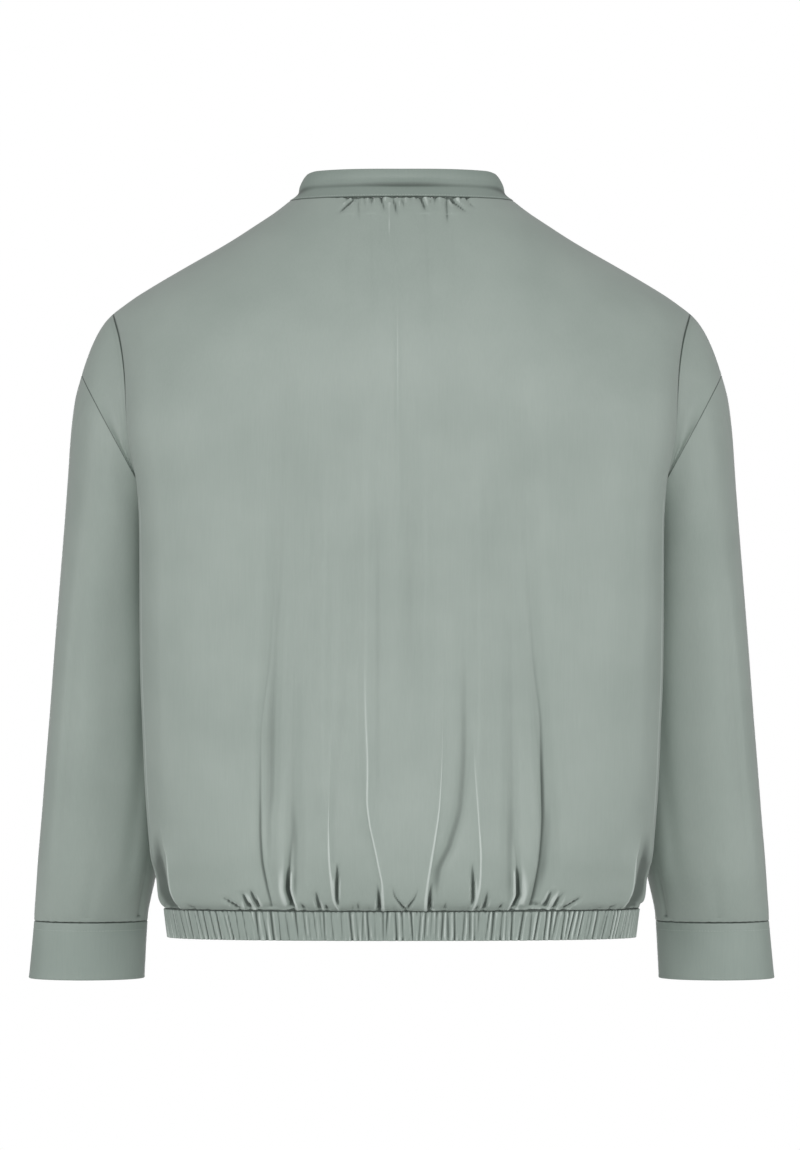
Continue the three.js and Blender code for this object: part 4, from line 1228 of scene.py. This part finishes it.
def band_lift(form, normals):
    """Ribs with uneven valleys between them, and short puckers from both edges."""
    along = lengths(form[0])[None, :]
    up = np.clip(share_up(form)[0], 0, 1)
    total = along[0, -1]
    heights = np.full(form.shape[:2], 0.6)
    place = 4.0
    while place < total - 4:
        side = math.sin(2 * math.pi * place / total)
        lean = 5.0 * side * abs(side) + random.uniform(-1.6, 1.6)
        deep = random.uniform(0.7, 2.4)
        width = random.uniform(0.6, 1.25)
        off = along - place + lean * (up - 0.5)
        valley = np.exp(-np.abs(off / width) ** 1.6)
        shoulder = bell((np.abs(off) - 2.2 * width) / width)
        reach = lerp(1, random.uniform(0.5, 1), up if random.random() < 0.5 else 1 - up)
        heights += (0.35 * shoulder - deep * valley) * reach
        place += random.uniform(2.6, 8.5)
    for edge in (up, 1 - up):
        place = 3.0
        while place < total - 3:
            reach = random.uniform(0.15, 0.35)
            deep = random.uniform(0.4, 1.1)
            lean = random.uniform(-2, 2)
            off = (along - place - lean * edge) / random.uniform(0.7, 1.1)
            heights -= deep * bell(off) * smoothstep(reach - edge, 0, reach)
            place += random.uniform(3, 8)
    return heights


band, _ = shell("hem_band_cloth", band_sheet(), band_lift, SHIRRED, {"high": 0.9}, 0.8)
dress(band, "hem_band", SHIRRED_SATIN)

# %% [markdown]
# ## Stitches
#
# A row of thread holds each cuff's upper edge and the lower edge of the collar. A sewing machine
# lays stitches of one length, with a small gap where the thread dives into the cloth. They repeat
# by the hundred, so a node tree lays them: it cuts a line at the pitch and puts one on each cut.
# Thread takes the strain unevenly, so a seeded spread keeps any two from being quite alike.

# %% Node tree for a row of stitches


def stitch_tree(material):
    """Stitches on a line: one at each pitch, along the line, each a little longer or shorter."""
    tree = bpy.data.node_groups.new("stitch_row", "GeometryNodeTree")
    sizes = (("Pitch", 0.0026), ("Length", 0.0018), ("Thickness", 0.00045), ("Spread", 0.12))
    new_socket = tree.interface.new_socket
    new_socket("Line", in_out="INPUT", socket_type="NodeSocketGeometry")
    for name, size in sizes:
        new_socket(name, in_out="INPUT", socket_type="NodeSocketFloat").default_value = size
    new_socket("Seed", in_out="INPUT", socket_type="NodeSocketInt").default_value = 5
    new_socket("Stitches", in_out="OUTPUT", socket_type="NodeSocketGeometry")

    given = add_node(tree, "NodeGroupInput").outputs
    line = add_node(tree, "GeometryNodeMeshToCurve", {"Mesh": given["Line"]}).outputs["Curve"]
    pitch = {"Curve": line, "Length": given["Pitch"]}
    cuts = add_node(tree, "GeometryNodeResampleCurve", pitch, mode="LENGTH")
    along = add_node(tree, "GeometryNodeInputTangent").outputs["Tangent"]
    turned = add_node(tree, "FunctionNodeAlignRotationToVector", {"Vector": along}, axis="Z")
    low, high = (maths(tree, way, 1.0, given["Spread"]) for way in ("SUBTRACT", "ADD"))
    spread = {2: low, 3: high, "Seed": given["Seed"]}
    uneven = add_node(tree, "FunctionNodeRandomValue", spread, data_type="FLOAT")
    length = maths(tree, "MULTIPLY", given["Length"], uneven.outputs[1])
    wide = given["Thickness"]
    size = add_node(tree, "ShaderNodeCombineXYZ", {"X": wide, "Y": wide, "Z": length})
    thread = add_node(tree, "GeometryNodeMeshUVSphere", {"Segments": 6, "Rings": 4, "Radius": 0.5})
    laid = add_node(tree, "GeometryNodeInstanceOnPoints", {
        "Points": cuts.outputs["Curve"],
        "Instance": thread.outputs["Mesh"],
        "Rotation": turned.outputs["Rotation"],
        "Scale": size.outputs["Vector"],
    })
    real = add_node(tree, "GeometryNodeRealizeInstances", {"Geometry": laid.outputs["Instances"]})
    dyed = {"Geometry": real.outputs["Geometry"], "Material": material}
    finished = add_node(tree, "GeometryNodeSetMaterial", dyed)
    add_node(tree, "NodeGroupOutput", {"Stitches": finished.outputs["Geometry"]})
    return tree


# %% Lay the stitches
# Polyester thread is rounder and smoother than the satin, so it shows as a row of small glints.
THREAD = satin("polyester_thread", "a3aea8", "b2bcb6", 0.4, 0.1)
STITCHES = stitch_tree(THREAD)


def sewn(name, points, closed, pitch, seed):
    """A row of stitches along a line of points on a finished piece."""
    numbers = [*range(len(points)), 0] if closed else range(len(points))
    mesh = bpy.data.meshes.new(name)
    mesh.from_pydata((points * MM).tolist(), list(zip(numbers, numbers[1:])), [])
    row = placed(name, mesh)
    modifier = row.modifiers.new("stitch_row", "NODES")
    modifier.node_group = STITCHES
    chosen = {"Pitch": pitch * MM, "Seed": seed}
    for item in STITCHES.interface.items_tree:
        if item.in_out == "INPUT" and item.name in chosen:
            modifier[item.identifier] = chosen[item.name]
    graph = bpy.context.evaluated_depsgraph_get()
    made = bpy.data.meshes.new_from_object(row.evaluated_get(graph))
    row.modifiers.clear()
    row.data = made
    made.shade_smooth()
    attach(row, "root")
    print("%s: %d faces" % (name, len(made.polygons)))


def rises(rows, height):
    """The first row of a grid that lies this far above its lowest, at the middle."""
    middle = rows.shape[1] // 2
    return next(row for row in rows if row[middle, 2] - rows[0, middle, 2] > height)


sewn("cuff_left_stitches", cuff_rows["left"], closed=True, pitch=2.6, seed=5)
sewn("cuff_right_stitches", cuff_rows["right"], closed=True, pitch=2.6, seed=6)
sewn("collar_stitches", rises(collar_outer, 1.7)[2:-2], closed=False, pitch=2.4, seed=7)

# %% [markdown]
# ## Camera, light and floor
#
# The camera stands level behind the jacket, far back, so that the shape is hardly foreshortened.
# Satin is lit best by large soft sources. A wide one over the camera gives the flat back its even
# tone, two at the sides shape the folds, and two weak ones fill the sleeves. One on the far side
# lights the fronts. The floor is a plain pale disc, which throws a little light back up.

# %% Camera
CAMERA_PLACE, LENS = (0.0014, 4.5, -0.32), 163.8
camera = placed("camera", bpy.data.cameras.new("camera"))
camera.location = CAMERA_PLACE
camera.rotation_euler = (math.radians(90), 0, math.radians(180))
camera.data.lens = LENS
bpy.context.scene.camera = camera
print("camera: %.1f m behind the jacket" % camera.location.y)

# %% Lights
MIDDLE = (0, 0, -0.3)


def softbox(name, place, width, height, power):
    """A rectangular softbox that faces the middle of the jacket."""
    data = bpy.data.lights.new(name, "AREA")
    data.shape = "RECTANGLE"
    data.size, data.size_y, data.energy = width, height, power
    light = placed(name, data)
    light.location = place
    light.rotation_euler = (Vector(MIDDLE) - Vector(place)).to_track_quat("-Z", "Y").to_euler()


softbox("front", (0, 5.2, 0.9), 2.6, 1.6, 77)
for side, name in SIDES:
    softbox("key_" + name, (side * 2.6, 3.2, 0.6), 1.2, 2.4, 37)
    softbox("side_" + name, (side * 3.9, 0.9, 0.1), 1.2, 2.4, 19)
softbox("far", (0, -4.6, -0.4), 2.6, 1.2, 44)

# %% Surroundings and floor
AMBIENT, WHITE = 0.33, (1, 1, 1, 1)
world = bpy.data.worlds.new("studio")
bpy.context.scene.world = world
tree = cleared(world)
seen, ambient = (
    add_node(tree, "ShaderNodeBackground", {"Color": WHITE, "Strength": strength}).outputs["Background"]
    for strength in (1.0, AMBIENT)
)
ray = add_node(tree, "ShaderNodeLightPath").outputs["Is Camera Ray"]
mix = add_node(tree, "ShaderNodeMixShader", {0: ray, 1: ambient, 2: seen})
add_node(tree, "ShaderNodeOutputWorld", {"Surface": mix.outputs["Shader"]})
bpy.context.scene.view_settings.view_transform = "Standard"

FLOOR_Z, FLOOR_RADIUS = -0.98, 1.2
turns = np.linspace(0, 2 * np.pi, 96, endpoint=False)
rim_points = vec(FLOOR_RADIUS * np.cos(turns), FLOOR_RADIUS * np.sin(turns), FLOOR_Z)
floor_mesh = bpy.data.meshes.new("floor")
floor_mesh.from_pydata(rim_points.tolist(), [], [tuple(range(len(turns)))])
floor = placed("floor", floor_mesh)
paint = bpy.data.materials.new("studio_floor")
tree = cleared(paint)
matt = add_node(tree, "ShaderNodeBsdfPrincipled", {"Base Color": linear("e8e9e7"), "Roughness": 0.9})
add_node(tree, "ShaderNodeOutputMaterial", {"Surface": matt.outputs["BSDF"]})
floor_mesh.materials.append(paint)
print("floor: %.2f m below the neck" % -FLOOR_Z)
